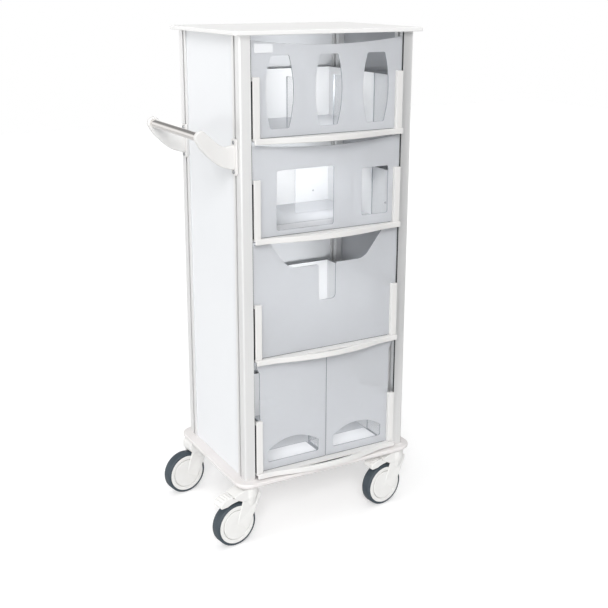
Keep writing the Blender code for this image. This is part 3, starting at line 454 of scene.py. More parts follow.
disc = drum("hub_disc", DISC_RADIUS, axle_place, 2 * DISC_OUTSIDE, "Y", 96)
carve(disc, drum("hub_room", DISC_RADIUS + 2 * DISC_EDGE, axle_place, 2 * DISC_INSIDE, "Y", 96))
settle(disc, DISC_EDGE, 3)
for shell in (fork, rear_fork):
    modify(shell, "REMESH", mode="VOXEL", voxel_size=FORK_VOXEL)
    wheel_room = drum("wheel_room", WHEEL_ROOM, axle_place, 2 * WHEEL_ROOM_HALF, "Y", 96)
    carve(wheel_room, drum("disc_place", DISC_RADIUS - DISC_EDGE, axle_place, 3 * WHEEL_ROOM_HALF, "Y", 96))
    carve(shell, wheel_room, drum("disc_room", DISC_RADIUS, axle_place, 2 * DISC_ROOM_HALF, "Y", 96))
    moulded(shell, FORK_VOXEL, smoothing=5, keep=0.4)
    join(shell, copied(disc, "hub_disc_pair"))
bpy.data.objects.remove(disc)

# Pedal: a nylon foot plate hinged beside the neck, with four soft ribs for the shoe.
PEDAL_HALF = 0.019
PEDAL_EDGE = 0.002
PEDAL_VOXEL = 0.0007
PEDAL_OUTLINE = [
    (-0.0335, 0.1362), (-0.0450, 0.1334), (-0.0566, 0.1325), (-0.0686, 0.1299), (-0.0778, 0.1264),
    (-0.0948, 0.1255), (-0.0988, 0.1265), (-0.1008, 0.1300), (-0.1004, 0.1352), (-0.0976, 0.1402),
    (-0.0920, 0.1446), (-0.0840, 0.1478), (-0.0728, 0.1504), (-0.0605, 0.1516), (-0.0595, 0.1438),
    (-0.0328, 0.1437), (-0.0285, 0.1420), (-0.0281, 0.1390)]
PEDAL_RIBS = [(-0.0958, 0.1420), (-0.0885, 0.1462), (-0.0805, 0.1487), (-0.0720, 0.1505)]
PEDAL_RIB_RADIUS = 0.0020
PEDAL_RIB_LENGTH = 1.5 * PEDAL_HALF
pedal = slab("pedal", PEDAL_OUTLINE, -PEDAL_HALF, PEDAL_HALF)
settle(pedal, PEDAL_EDGE, 3, 60)
ribs = [drum("pedal_rib", PEDAL_RIB_RADIUS, (x, 0, z), PEDAL_RIB_LENGTH, "Y", 16) for x, z in PEDAL_RIBS]
join(pedal, *ribs)
moulded(pedal, PEDAL_VOXEL, smoothing=3, keep=0.35)

# Nylon from a polished mould: cool off-white, semi-matt, a little cloudy in tone.
# Flow clouding is some 30 mm wide; the skin's grain is drawn at 0.7 mm to show.
nylon = finish(
    "nylon_injection_moulded", ("#E2E1DF", "#EAEAE8"), patch=(0.030, 3.0), grain=(0.0007, 2.0),
    gloss=("patch", 0.34, 0.46), relief=(0.15, 0.0001), sockets={"IOR": 1.53})

# Thermoplastic rubber tread: slate blue-grey, dull, dusty on the rolling face.
# Grip grain is about 0.5 mm, drawn at 1 mm; dust lies in patches some 15 mm wide.
tread_rubber = finish(
    "thermoplastic_rubber_moulded", ("#303940", "#434E56"), patch=(0.015, 4.0), grain=(0.001, 3.0),
    gloss=("patch", 0.48, 0.64), relief=(0.3, 0.0002), sockets={"IOR": 1.5})

# Zinc plate on steel: bright grey metal with faint crystal clouding about 4 mm wide.
zinc_plate = finish(
    "steel_zinc_plated", ("#B4B7BA", "#CDD0D2"), patch=(0.004, 4.0), gloss=("patch", 0.26, 0.42),
    sockets={"Metallic": 1.0})


def on_stem(model, name, corner):
    """A copy of a caster piece, turned with its swivel and set on one stem."""
    piece = copied(model, name + "_" + corner + "_skin")
    piece.location = (stems[corner][0], stems[corner][1], 0)
    piece.rotation_euler = (0, 0, CASTER_TURN)
    return baked(piece)


for corner in stems:
    skin = on_stem(tyre, "tyre", corner)
    dressed(skin, tread_rubber)
    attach(skin, "wheel_" + corner)
    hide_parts("tyre_" + corner)
    skin = on_stem(rim, "rim", corner)
    dressed(skin, nylon)
    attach(skin, "wheel_" + corner)
    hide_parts("rim_" + corner)
    skin = on_stem(rear_fork if corner in ("bl", "br") else fork, "fork", corner)
    dressed(skin, nylon)
    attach(skin, "caster_" + corner)
    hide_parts("fork_" + corner)
    dressed(nodes["stem_" + corner], zinc_plate)
    dressed(nodes["axle_" + corner], zinc_plate)
for corner in ("fl", "fr"):
    skin = on_stem(pedal, "pedal", corner)
    dressed(skin, nylon)
    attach(skin, "brake_" + corner)
    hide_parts("pedal_" + corner)
for model in (tyre, rim, fork, rear_fork, pedal):
    bpy.data.objects.remove(model)


# Corner posts: one aluminium extrusion, clear anodised, used at all four corners.
# A T-slot on the outer face takes the handle, one on the inner face the runners,
# and a groove holds the side panel. The other three are mirror images.
POST_WIDTH = 0.030
POST_DEPTH = 0.045
POST_CORNER = 0.005
SLOT_LIP = 0.0025
OUTER_SLOT = 0.030
OUTER_MOUTH = 0.0045
OUTER_CHANNEL = 0.007
OUTER_SLOT_DEPTH = 0.009
INNER_SLOT = 0.025
INNER_MOUTH = 0.004
INNER_CHANNEL = 0.0065
INNER_SLOT_DEPTH = 0.008
GROOVE = (0.0037, 0.0103)
GROOVE_DEPTH = 0.006
POST_EDGE = 0.0004
PAST_END = 0.005
CUT_OVERLAP = 0.0005
POST_CORNERS = (
    ("front_left", 1, 1), ("front_right", -1, 1), ("rear_left", 1, -1), ("rear_right", -1, -1))

post_low, post_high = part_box("post_front_left")
foot = post_low[2] - PAST_END
head = post_high[2] + PAST_END
post_x = post_low[0]
post_y = post_low[1]


def slot_cutter(left, right, front, back):
    """A cutter along the whole post, measured from its outer front corner."""
    return block("slot", (post_x + left, post_y + front, foot), (post_x + right, post_y + back, head))


post = block("post", post_low, post_high)
pick(post, "EDGE", lambda edge: runs(edge, 2) and all(
    abs(point.co.x - post_x) < NEAR and abs(point.co.y - post_y) < NEAR for point in edge.verts))
round_edges(POST_CORNER, 8)
carve(
    post,
    slot_cutter(-PAST_END, SLOT_LIP + CUT_OVERLAP, OUTER_SLOT - OUTER_MOUTH, OUTER_SLOT + OUTER_MOUTH),
    slot_cutter(SLOT_LIP, OUTER_SLOT_DEPTH, OUTER_SLOT - OUTER_CHANNEL, OUTER_SLOT + OUTER_CHANNEL),
    slot_cutter(
        POST_WIDTH - SLOT_LIP - CUT_OVERLAP, POST_WIDTH + PAST_END,
        INNER_SLOT - INNER_MOUTH, INNER_SLOT + INNER_MOUTH),
    slot_cutter(
        POST_WIDTH - INNER_SLOT_DEPTH, POST_WIDTH - SLOT_LIP,
        INNER_SLOT - INNER_CHANNEL, INNER_SLOT + INNER_CHANNEL),
    slot_cutter(GROOVE[0], GROOVE[1], POST_DEPTH - GROOVE_DEPTH, POST_DEPTH + PAST_END))
settle(post, POST_EDGE, 2)

# Clear anodised aluminium: satin silver, drawn with faint die lines along the post.
# Die lines are about 0.3 mm apart, drawn at 1 mm, and 400 mm long.
anodised = finish(
    "aluminium_extruded_anodised", ("#E2E2E2", "#EEEEED"), patch=(0.001, 2.0), stretch=(1.0, 1.0, 0.0025),
    gloss=("patch", 0.30, 0.42), relief=(0.12, 0.0001), sockets={"Metallic": 0.6})
dressed(post, anodised)

for corner, flip_x, flip_y in POST_CORNERS:
    skin = copied(post, "post_" + corner + "_extrusion")
    skin.scale = (flip_x, flip_y, 1)
    skin.location = (base_x * (1 - flip_x), base_y * (1 - flip_y), 0)
    settle(baked(skin))
    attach(skin, "cart")
    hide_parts("post_" + corner)
bpy.data.objects.remove(post)


# Side and back panels: white acrylic-faced board, cut flat and slid into the posts'
# grooves. The CAD sheets stay. The side panels' inner faces are painted grey:
# painted shade for the dim inside of the cart.
def faced_sheet(name):
    """Acrylic facing: gloss white under a coat that mirrors the room softly.

    A pressed sheet keeps a faint ripple, some 25 mm from wave to wave; tone drifts over 300 mm.
    """
    return finish(
        name, ("#E5E7EA", "#EAECEE"), patch=(0.300, 2.0), grain=(0.025, 1.0), relief=(0.04, 0.0004),
        sockets={"IOR": 1.49, "Roughness": 0.3, "Coat Weight": 0.5, "Coat Roughness": 0.06})


def sheet_with_painted_inner_shade(name, inward):
    """The faced sheet, painted grey as shade where it faces along the inward X direction."""
    board = faced_sheet(name)
    shader = board.node_tree.nodes["Principled BSDF"]
    facing = add_node(board, "TexCoord")
    sideways = add_node(board, "SeparateXYZ", links={"Vector": facing.outputs["Normal"]})
    inner_shade = add_node(
        board, "MapRange", {"From Min": 0.4 * inward, "From Max": 0.6 * inward},
        {"Value": sideways.outputs["X"]})
    tint = add_node(
        # Painted shade: the inner faces turn grey, for the dim inside of the cart.
        board, "MixRGB", {"Color2": linear("#B2B4B8")},
        {"Fac": inner_shade.outputs["Result"], "Color1": shader.inputs["Base Color"].links[0].from_socket})
    board.node_tree.links.new(tint.outputs["Color"], shader.inputs["Base Color"])
    return board


gloss_sheet = faced_sheet("acrylic_faced_sheet_white")
dressed(nodes["back_panel"], gloss_sheet)
dressed(nodes["side_panel_left"], sheet_with_painted_inner_shade("acrylic_sheet_painted_inner_shade_left", 1))
dressed(nodes["side_panel_right"], sheet_with_painted_inner_shade("acrylic_sheet_painted_inner_shade_right", -1))


# Runners: folded zinc-plated channels screwed to the posts, one pair for each tray.
# The CAD channels stay, in the same plate as the caster stems.
TIERS = (1, 2, 3, 4)
for tier in TIERS:
    for side in ("left", "right"):
        dressed(nodes["runner_%d_%s" % (tier, side)], zinc_plate)


# Trays: warm white ABS shelves that slide out. Each is a floor with a bowed front
# rim, a long finger slot behind the bow and low pan walls; moulded once, used on
# all four tiers.
TRAY_HALF = 0.222
TRAY_FLOOR = 0.005
TRAY_FRONT = -0.204
TRAY_BACK = 0.173
TRAY_EDGE = 0.0010
BOW_REACH = 0.026
BOW_CHORD = 0.168
BOW_BLEND = 0.006
FRONT_STEPS = 72
RIM_WIDTH = 0.007
RIM_DROP = 0.013
RIM_RISE = 0.002
RIM_ROUND = 0.0022
SLOT_HALF = 0.115
SLOT_WIDTH = 0.013
SLOT_FROM_EDGE = 0.011
SLOT_STEPS = 40
SLOT_CUT = 0.02
PAN_HALF = 0.205
PAN_FRONT = -0.1815
PAN_BACK = 0.160
PAN_WALL = 0.003
PAN_HEIGHT = 0.142
PAN_EDGE = 0.0006
PAN_LINER = 0.00015
RIM_SHADE_HEIGHT = 0.0018
RIM_SHADE_WALL = 0.0003
RIM_SHADE_COVER = 0.0004


def front_edge(x):
    """Front of the tray at x: straight ends that blend into a shallow bow."""
    radius = (BOW_CHORD ** 2 + BOW_REACH ** 2) / (2 * BOW_REACH)
    rise = math.sqrt(radius ** 2 - x ** 2) - radius + BOW_REACH
    crest = (BOW_REACH + math.hypot(BOW_REACH, BOW_BLEND)) / 2
    return TRAY_FRONT - BOW_REACH * (rise + math.hypot(rise, BOW_BLEND)) / 2 / crest


def across(half, steps):
    """Even steps from one side to the other."""
    return [half * (2 * i / steps - 1) for i in range(steps + 1)]


edge_line = [(x, front_edge(x)) for x in across(TRAY_HALF, FRONT_STEPS)]
floor_line = [(x, y + RIM_WIDTH / 2) for x, y in edge_line]
floor_line += [(TRAY_HALF, TRAY_BACK), (-TRAY_HALF, TRAY_BACK)]
tray = slab("tray_floor", floor_line, -TRAY_FLOOR, 0, "Z")
slot_front = [(x, front_edge(x) + SLOT_FROM_EDGE) for x in across(SLOT_HALF, SLOT_STEPS)]
slot_back = [(x, y + SLOT_WIDTH * (1 - (x / SLOT_HALF) ** 2)) for x, y in slot_front[-2:0:-1]]
carve(tray, slab("finger_slot", slot_front + slot_back, -SLOT_CUT, SLOT_CUT, "Z"))
settle(tray, TRAY_EDGE, 2, 50)
tray_rim = slab(
    "tray_rim", edge_line + [(x, y + RIM_WIDTH) for x, y in reversed(edge_line)], -RIM_DROP, RIM_RISE, "Z")
settle(tray_rim, RIM_ROUND, 4, 50)
inner = PAN_HALF - PAN_WALL


def pan_line(grow):
    """Plan of the pan's three walls, thicker by some on both faces."""
    outer = PAN_HALF + grow
    back = PAN_BACK + grow
    room = inner - grow
    room_back = PAN_BACK - PAN_WALL - grow
    return [
        (-outer, PAN_FRONT), (-room, PAN_FRONT), (-room, room_back), (room, room_back),
        (room, PAN_FRONT), (outer, PAN_FRONT), (outer, back), (-outer, back)]


pan = slab("tray_pan", pan_line(0), -TRAY_FLOOR / 2, PAN_HEIGHT - RIM_SHADE_COVER, "Z")
settle(pan, PAN_EDGE)
pan_floor = block("pan_floor", (-inner, PAN_FRONT, -PAN_LINER), (inner, PAN_BACK - PAN_WALL, PAN_LINER))
# Painted shade: a grey band round the pan's top edge for the shadow gap behind it.
pan_rim_painted_shade = slab("pan_rim_painted_shade", pan_line(RIM_SHADE_WALL), PAN_HEIGHT - RIM_SHADE_HEIGHT, PAN_HEIGHT, "Z")
settle(pan_rim_painted_shade, RIM_SHADE_WALL)
join(tray, tray_rim)

# ABS again, but warmer and satin: the moulds of handled pieces are finer grained.
# Grain about 0.15 mm, drawn at 0.6 mm; tone drifts over some 120 mm.
satin_abs = finish(
    "abs_satin_moulded", ("#DDDCDA", "#E3E2E1"), patch=(0.120, 2.0), grain=(0.0006, 2.0),
    gloss=("grain", 0.28, 0.38), relief=(0.1, 0.0001), sockets={"IOR": 1.53})
dressed(tray, satin_abs)

# The pan is bent from polystyrene sheet: a cooler, flatter white with a soft roll
# texture, some 2 mm wide.
pan_sheet = finish(
    "polystyrene_sheet_white", ("#ECEDEE", "#F0F1F2"), patch=(0.100, 2.0), grain=(0.002, 2.0),
    gloss=("grain", 0.42, 0.54), relief=(0.05, 0.0001), sockets={"IOR": 1.59})
dressed(pan, pan_sheet)

# A grey band over the pan's upper edge is painted shade for the dark gap between the
# pan and the panel behind it: dull, with faint lines about 1 mm apart.
grey_vinyl_and_painted_shade = finish(
    "pvc_grey_and_painted_shade", ("#5E6165", "#6E7175"), patch=(0.001, 1.0),
    sockets={"IOR": 1.53, "Roughness": 0.45})
dressed(pan_rim_painted_shade, grey_vinyl_and_painted_shade)

# Its floor carries a thin liner painted grey, painted shade where less light reaches than on the walls:
# matt, finely pebbled, some 1.5 mm from grain to grain.
floor_painted_shade = finish(
    "pvc_liner_painted_shade", ("#CDCFD3", "#D6D8DB"), patch=(0.0015, 2.0), relief=(0.1, 0.0001),
    sockets={"IOR": 1.53, "Roughness": 0.6})
dressed(pan_floor, floor_painted_shade)
join(tray, pan, pan_rim_painted_shade, pan_floor)

tray_tops = {}
for tier in TIERS:
    tray_tops[tier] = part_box("tray_%d" % tier)[1][2] - PAN_HEIGHT
    skin = copied(tray, "tray_%d_moulding" % tier)
    skin.location = (base_x, base_y, tray_tops[tier])
    baked(skin)
    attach(skin, "tray_%d" % tier)
    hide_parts("tray_%d" % tier)
bpy.data.objects.remove(tray)


# Retainer strips: white ABS channels that clip the inserts down at both sides.
# The front corners are rounded and the back is hollow. A black band down the outer
# flank, where it meets the post, is painted shade for the dark gap between strip and post.
STRIP_ROUND = 0.00125
STRIP_WALL = 0.003
STRIP_SHADE_THICKNESS = 0.0008
STRIP_SHADE_INSET = 0.0012
STRIP_SHADE_SHARE = 0.45
STRIP_SHADE_TOP_GAP = 0.010
SIDES = (("left", -1), ("right", 1))

# Painted shade, near black and dull, for gaps in deep shadow. Its 0.2 mm grain is drawn at 0.8 mm to show.
painted_shade_black = finish(
    "painted_shade_black_matt", ("#1C1D1F", "#2A2B2D"), patch=(0.0008, 3.0), relief=(0.2, 0.0001),
    sockets={"IOR": 1.5, "Roughness": 0.6})

for tier in TIERS:
    for side, way in SIDES:
        low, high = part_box("strip_%d_%s" % (tier, side))
        strip = block("strip_%d_%s_moulding" % (tier, side), low, high)
        pick(strip, "FACE", lambda face: face.normal.y > 0.9)
        bpy.ops.mesh.inset(thickness=STRIP_WALL)
        extrude(0, low[1] - high[1] + STRIP_WALL, 0)
        settle(strip, STRIP_ROUND, 3)
        dressed(strip, satin_abs)
        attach(strip, "tray_%d" % tier)
        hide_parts("strip_%d_%s" % (tier, side))
        # Painted shade: a black band down the outer flank for the dark gap beside the post.
        flank = high[0] if way > 0 else low[0]
        faces = sorted((flank, flank + way * STRIP_SHADE_THICKNESS))
        start = high[1] - STRIP_SHADE_SHARE * (high[1] - low[1])
        painted_shade_strip = block(
            "strip_seal_%d_%s" % (tier, side), (faces[0], start, low[2] + STRIP_SHADE_INSET),
            (faces[1], high[1], high[2] - STRIP_SHADE_TOP_GAP))
        settle(painted_shade_strip, STRIP_SHADE_THICKNESS / 4)
        dressed(painted_shade_strip, painted_shade_black)
        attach(painted_shade_strip, "tray_%d" % tier)


# Inserts: frosted grey PETG sheet, 3 mm, cut and folded into dispensers that stand
# on the trays. Cut edges are flame polished. Each has its own openings: three glove
# boxes, masks beside a narrow bay, a gown scoop, and two bins with arched mouths.
SHEET = 0.003
SHEET_EDGE = 0.0005
SHEET_LIFT = 0.0003
SHEET_FORWARD = 0.185
RETURN_DEPTH = 0.092
RETURN_LIFT = 0.0005
RETURN_TOP = PAN_HEIGHT - SHEET_LIFT
FOLD_DEPTH = 0.106
FOLD_GAP = 0.0002
FOOT_LINE = 0.0022
FOOT_SHADE = 0.0005
RETURN_REACH = PAN_HALF - PAN_WALL - RETURN_LIFT - SHEET / 2
SHEET_HALF = 0.2225
SCOOP = 0.015
SCOOP_STEPS = 48
sheet_front = base_y - SHEET_FORWARD
sheet_back = sheet_front + SHEET

# Frosted PETG: pale smoke grey, see-through only as a milky blur, satin face.
# The frost is a 0.1 mm etch, drawn at 0.5 mm; tone drifts over some 200 mm.
frosted = finish(
    "petg_sheet_frosted", ("#E8EAEE", "#EDEFF2"), patch=(0.200, 2.0), grain=(0.0005, 2.0),
    relief=(0.08, 0.0001), sockets={"IOR": 1.57, "Roughness": 0.45, "Transmission Weight": 0.5})

# Clear PETG: the fins are left unfrosted, glossy and faintly grey.
# Faint drawing streaks, some 6 mm apart, run through the sheet.
clear_sheet = finish(
    "petg_sheet_clear", ("#DADDE1", "#E4E6EA"), patch=(0.006, 1.0), gloss=("patch", 0.18, 0.28),
    sockets={"IOR": 1.57, "Alpha": 0.12})

# Opal PETG: the feet carry a white film, flat and even, with a faint haze some 40 mm wide.
opal_sheet = finish(
    "petg_sheet_opal", ("#DCDDE0", "#E2E3E5"), patch=(0.040, 2.0), gloss=("patch", 0.50, 0.60),
    sockets={"IOR": 1.57})

# Polished PETG edge: light trapped in the sheet leaves its cut edges darker grey.
# Saw marks some 2 mm apart stay faintly in the polish.
sheet_edge = finish(
    "petg_edge_polished", ("#8A8E94", "#9EA2A8"), patch=(0.002, 1.0),
    sockets={"IOR": 1.57, "Roughness": 0.4})


def edged(part, sheet, axis, least=0.0):
    """One sheet on the two faces across the axis, polished edge on all others and on small faces."""
    part.data.materials.clear()
    part.data.materials.append(sheet)
    part.data.materials.append(sheet_edge)
    for face in part.data.polygons:
        face.material_index = 0 if abs(face.normal[axis]) > 0.9 and face.area > least else 1


def folded(front, tier, *places):
    """Gives a front sheet its foot on the tray, a grey strip of painted contact shadow along its base and a
    fin at each place.
    """
    floor = tray_tops[tier] + SHEET_LIFT
    start = sheet_back + FOLD_GAP
    parts = [block(
        "foot", (base_x + min(places) + SHEET / 2, start, floor),
        (base_x + max(places) - SHEET / 2, sheet_back + FOLD_DEPTH, floor + SHEET / 2))]
    for x in places:
        parts.append(block(
            "fin", (base_x + x - SHEET / 2, start, floor + SHEET / 2 + RETURN_LIFT),
            (base_x + x + SHEET / 2, sheet_back + RETURN_DEPTH, tray_tops[tier] + RETURN_TOP)))
    for part in parts:
        settle(part, SHEET_EDGE)
        edged(part, clear_sheet, 0)
    pick(parts[0], "FACE", lambda face: face.normal.z > 0.9)
    bpy.ops.mesh.inset(thickness=FOOT_LINE)
    alone(parts[0])
    edged(parts[0], opal_sheet, 2, 3 * FOOT_LINE * FOLD_DEPTH)
    edged(front, frosted, 1)
    # Painted shade: a grey strip along the sheet's base for its contact shadow on the tray.
    painted_shade_strip = block(
        "foot_painted_shade", (base_x + min(places), sheet_front - FOOT_SHADE, floor),
        (base_x + max(places), sheet_front + SHEET / 4, floor + 2 * FOOT_SHADE))
    settle(painted_shade_strip, FOOT_SHADE / 3)
    dressed(painted_shade_strip, grey_vinyl_and_painted_shade)
    join(front, *parts, painted_shade_strip)


def window(outline):
    """A cutter through the front sheet."""
    return slab("window", outline, sheet_front - SHEET, sheet_back + SHEET)


def scooped(low, high):
    """Front sheet outline whose upper edge dips in one shallow arc."""
    dip = [(x, high - SCOOP * (1 - (x / SHEET_HALF) ** 2)) for x in across(SHEET_HALF, SCOOP_STEPS)]
    return [(base_x + x, z) for x, z in [(SHEET_HALF, low), (-SHEET_HALF, low)] + dip]


# Glove boxes: barrel-shaped openings
GLOVE_PITCH = 0.143
GLOVE_HEIGHT = 0.181
GLOVE_WIDE = 0.080
GLOVE_END = 0.056
GLOVE_LIFT = 0.022
GLOVE_CORNER = 0.006
BARREL_STEPS = 32


def barrel(middle, low):
    """Opening with flat ends, sides bowed outwards and small rounded corners."""
    half = GLOVE_END / 2
    corner = []
    for degrees in range(0, 75, 15):
        angle = math.radians(degrees)
        inset = half - GLOVE_CORNER + GLOVE_CORNER * math.sin(angle)
        corner.append((inset, GLOVE_CORNER * (1 - math.cos(angle))))
    bow = []
    for i in range(BARREL_STEPS + 1):
        along = 2 * i / BARREL_STEPS - 1
        reach = half + (GLOVE_WIDE - GLOVE_END) / 2 * (1 - along ** 2)
        bow.append((reach, GLOVE_HEIGHT / 2 + along * (GLOVE_HEIGHT / 2 - GLOVE_CORNER)))
    right = corner + bow + [(x, GLOVE_HEIGHT - z) for x, z in reversed(corner)]
    return [(middle + x, low + z) for x, z in right] + [(middle - x, low + z) for x, z in reversed(right)]


glove_low, glove_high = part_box("glove_insert")
glove = slab("glove_dispenser", scooped(glove_low[2], glove_high[2]), sheet_front, sheet_back)
for step in (-1, 0, 1):
    carve(glove, window(barrel(base_x + step * GLOVE_PITCH, tray_tops[1] + GLOVE_LIFT)))
settle(glove, SHEET_EDGE, 2, 50)
folded(glove, 1, -RETURN_REACH, -GLOVE_PITCH / 2, GLOVE_PITCH / 2, RETURN_REACH)

# Masks: a wide opening beside a narrow one, with a fin between them and a clear upright
# baffle that keeps the boxes forward
MASK_WINDOWS = ((-0.153, 0.015, 0.171, 0.157), (0.105, 0.028, 0.084, 0.130))
MASK_CORNER = 0.006
MASK_DIVIDER = 0.076
BAFFLE_LEFT = 0.019
BAFFLE_BACK = 0.030

mask_low, mask_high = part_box("mask_insert")
mask = slab("mask_dispenser", scooped(mask_low[2], mask_high[2]), sheet_front, sheet_back)
for left, lift, wide, tall in MASK_WINDOWS:
    opening = block(
        "window", (base_x + left, sheet_front - SHEET, tray_tops[2] + lift),
        (base_x + left + wide, sheet_back + SHEET, tray_tops[2] + lift + tall))
    pick(opening, "EDGE", lambda edge: runs(edge, 1))
    round_edges(MASK_CORNER, 6)
    carve(mask, opening)
settle(mask, SHEET_EDGE, 2, 50)
folded(mask, 2, -RETURN_REACH, MASK_DIVIDER, RETURN_REACH)
baffle = block(
    "baffle", (base_x + BAFFLE_LEFT, base_y + BAFFLE_BACK, tray_tops[2] + SHEET_LIFT),
    (base_x + RETURN_REACH, base_y + BAFFLE_BACK + SHEET / 2, tray_tops[2] + RETURN_TOP))
settle(baffle, SHEET_EDGE)
edged(baffle, clear_sheet, 1)
join(mask, baffle)

# Gowns: a wide scoop at the top with a slot for the hand
GOWN_TOP_HALF = 0.174
GOWN_FLOOR_HALF = 0.116
GOWN_FLOOR_LIFT = 0.238
GOWN_SLOT_HALF = 0.0265
GOWN_SLOT_LIFT = 0.137
GOWN_CORNERS = ((GOWN_FLOOR_HALF, GOWN_FLOOR_LIFT, 0.020), (GOWN_SLOT_HALF, GOWN_FLOOR_LIFT, 0.006),
                (GOWN_SLOT_HALF, GOWN_SLOT_LIFT, 0.012))

gown_low, gown_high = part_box("gown_insert")
scoop_floor = tray_tops[3] + GOWN_FLOOR_LIFT
slot_floor = tray_tops[3] + GOWN_SLOT_LIFT
right = [
    (SHEET_HALF, gown_low[2]), (SHEET_HALF, gown_high[2]), (GOWN_TOP_HALF, gown_high[2]),
    (GOWN_FLOOR_HALF, scoop_floor), (GOWN_SLOT_HALF, scoop_floor), (GOWN_SLOT_HALF, slot_floor)]
gown = slab(
    "gown_dispenser", [(base_x + x, z) for x, z in right] + [(base_x - x, z) for x, z in reversed(right)],
    sheet_front, sheet_back)
for x, lift, radius in GOWN_CORNERS:
    pick(gown, "EDGE", lambda edge: runs(edge, 1) and all(
        abs(abs(point.co.x - base_x) - x) < NEAR and abs(point.co.z - tray_tops[3] - lift) < NEAR
        for point in edge.verts))
    round_edges(radius, 8)
settle(gown, SHEET_EDGE, 2, 50)
folded(gown, 3, -RETURN_REACH, RETURN_REACH)

# Bins: a pair with arched mouths near the floor and ears at the outer top corners
BIN_SEAM = 0.0006
BIN_INSET = 0.015
BIN_OUTER = TRAY_HALF - BIN_INSET
EAR_INSET = 0.006
BIN_EAR = TRAY_HALF - EAR_INSET
EAR_HEIGHT = 0.008
EAR_SLOPE = 0.018
ARCH_HALF = 0.080
ARCH_LIFT = 0.023
ARCH_SIDE = 0.034
ARCH_RISE = 0.028
ARCH_CORNER = 0.005
ARCH_CUT = 0.3 * ARCH_CORNER
ARCH_STEPS = 32

bins = {}
for side, way in SIDES:
    low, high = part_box("bin_" + side)
    shoulder = high[2] - EAR_HEIGHT
    outline = [
        (BIN_SEAM, low[2]), (BIN_OUTER, low[2]), (BIN_OUTER, shoulder - EAR_SLOPE), (BIN_EAR, shoulder),
        (BIN_EAR, high[2]), (BIN_SEAM, high[2])]
    outline = [(base_x + way * x, z) for x, z in outline]
    bins[side] = slab("bin_" + side + "_sheet", outline, sheet_front, sheet_back)
    middle = base_x + way * (BIN_SEAM + BIN_OUTER) / 2
    sill = low[2] + ARCH_LIFT
    crown = [
        (x, ARCH_SIDE + ARCH_RISE * (1 - (x / ARCH_HALF) ** 2)) for x in across(-ARCH_HALF, ARCH_STEPS)]
    corner = [(ARCH_HALF - ARCH_CORNER, 0), (ARCH_HALF - ARCH_CUT, ARCH_CUT), (ARCH_HALF, ARCH_CORNER)]
    mouth = [(-x, z) for x, z in reversed(corner)] + corner + crown
    carve(bins[side], window([(middle + x, sill + z) for x, z in mouth]))
    settle(bins[side], SHEET_EDGE, 2, 50)
    folded(bins[side], 4, way * (BIN_SEAM + SHEET / 2), way * RETURN_REACH)

for insert, node, body in (
        (glove, "glove_insert", "tray_1"), (mask, "mask_insert", "tray_2"), (gown, "gown_insert", "tray_3"),
        (bins["left"], "bin_left", "tray_4"), (bins["right"], "bin_right", "tray_4")):
    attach(insert, body)
    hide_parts(node)


# Painted shade: thin black beads down the inner faces of the front posts stand for the
# shadow gap between the inserts and the aluminium, and a flat black patch on the base,
# under the finger slot of the lowest tray, for the deep shadow seen through that slot.
SHADE_BEAD_THICKNESS = 0.0013
SHADE_BEAD_FRONT = 0.0015
SHADE_BEAD_DEPTH = 0.0045
SHADE_BEAD_END_GAP = 0.001
SLOT_SHADOW_LOW = (-0.090, -0.204)
SLOT_SHADOW_HIGH = (0.110, -0.150)
SLOT_SHADOW_THICKNESS = 0.001

for side, way in (("left", 1), ("right", -1)):
    low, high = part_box("post_front_" + side)
    face = high[0] if way > 0 else low[0]
    faces = sorted((face, face + way * SHADE_BEAD_THICKNESS))
    shade_bead = block(
        "post_painted_shade_" + side, (faces[0], low[1] + SHADE_BEAD_FRONT, low[2] + SHADE_BEAD_END_GAP),
        (faces[1], low[1] + SHADE_BEAD_FRONT + SHADE_BEAD_DEPTH, high[2] - SHADE_BEAD_END_GAP))
    settle(shade_bead, SHADE_BEAD_THICKNESS / 4)
    dressed(shade_bead, painted_shade_black)
    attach(shade_bead, "cart")
# Painted shade: a black patch on the base for the deep shadow under the lowest tray's finger slot.
slot_shadow = block(
    "base_painted_slot_shadow", (base_x + SLOT_SHADOW_LOW[0], base_y + SLOT_SHADOW_LOW[1], base_high[2]),
    (base_x + SLOT_SHADOW_HIGH[0], base_y + SLOT_SHADOW_HIGH[1], base_high[2] + SLOT_SHADOW_THICKNESS))
settle(slot_shadow, SLOT_SHADOW_THICKNESS / 4)
dressed(slot_shadow, painted_shade_black)
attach(slot_shadow, "cart")


# Label plate: a small bare plate of white acrylic, cut with rounded corners and
# bonded to the glove dispenser.
PLATE_LOW = (-0.214, 1.3245)
PLATE_HIGH = (-0.162, 1.3465)
PLATE_THICKNESS = 0.001
PLATE_CORNER = 0.0015
PLATE_EDGE = 0.0003

plate = block(
    "label_plate", (base_x + PLATE_LOW[0], sheet_front - PLATE_THICKNESS, PLATE_LOW[1]),
    (base_x + PLATE_HIGH[0], sheet_front + SHEET / 4, PLATE_HIGH[1]))
pick(plate, "EDGE", lambda edge: runs(edge, 1))
round_edges(PLATE_CORNER, 4)
settle(plate, PLATE_EDGE)
dressed(plate, gloss_sheet)
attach(plate, "tray_1")


# Screws: small button heads of stainless steel with a hexagon socket, holding the
# pans to their trays and the handle brackets to the posts.
SCREW_RADIUS = 0.0028
SCREW_HEIGHT = 0.0016
SCREW_DOME = 0.6 * SCREW_HEIGHT
SOCKET_RADIUS = 0.0012
PAN_SCREW_REACH = 0.150
PAN_SCREW_LIFTS = {1: 0.033, 2: 0.033, 3: 0.114, 4: 0.114}
WALL_SCREW_FORWARD = 0.155
WALL_SCREW_LIFT = 0.048
FACING_FRONT = (math.pi / 2, 0, 0)
FACING_LEFT = (0, -math.pi / 2, 0)
FACING_RIGHT = (0, math.pi / 2, 0)

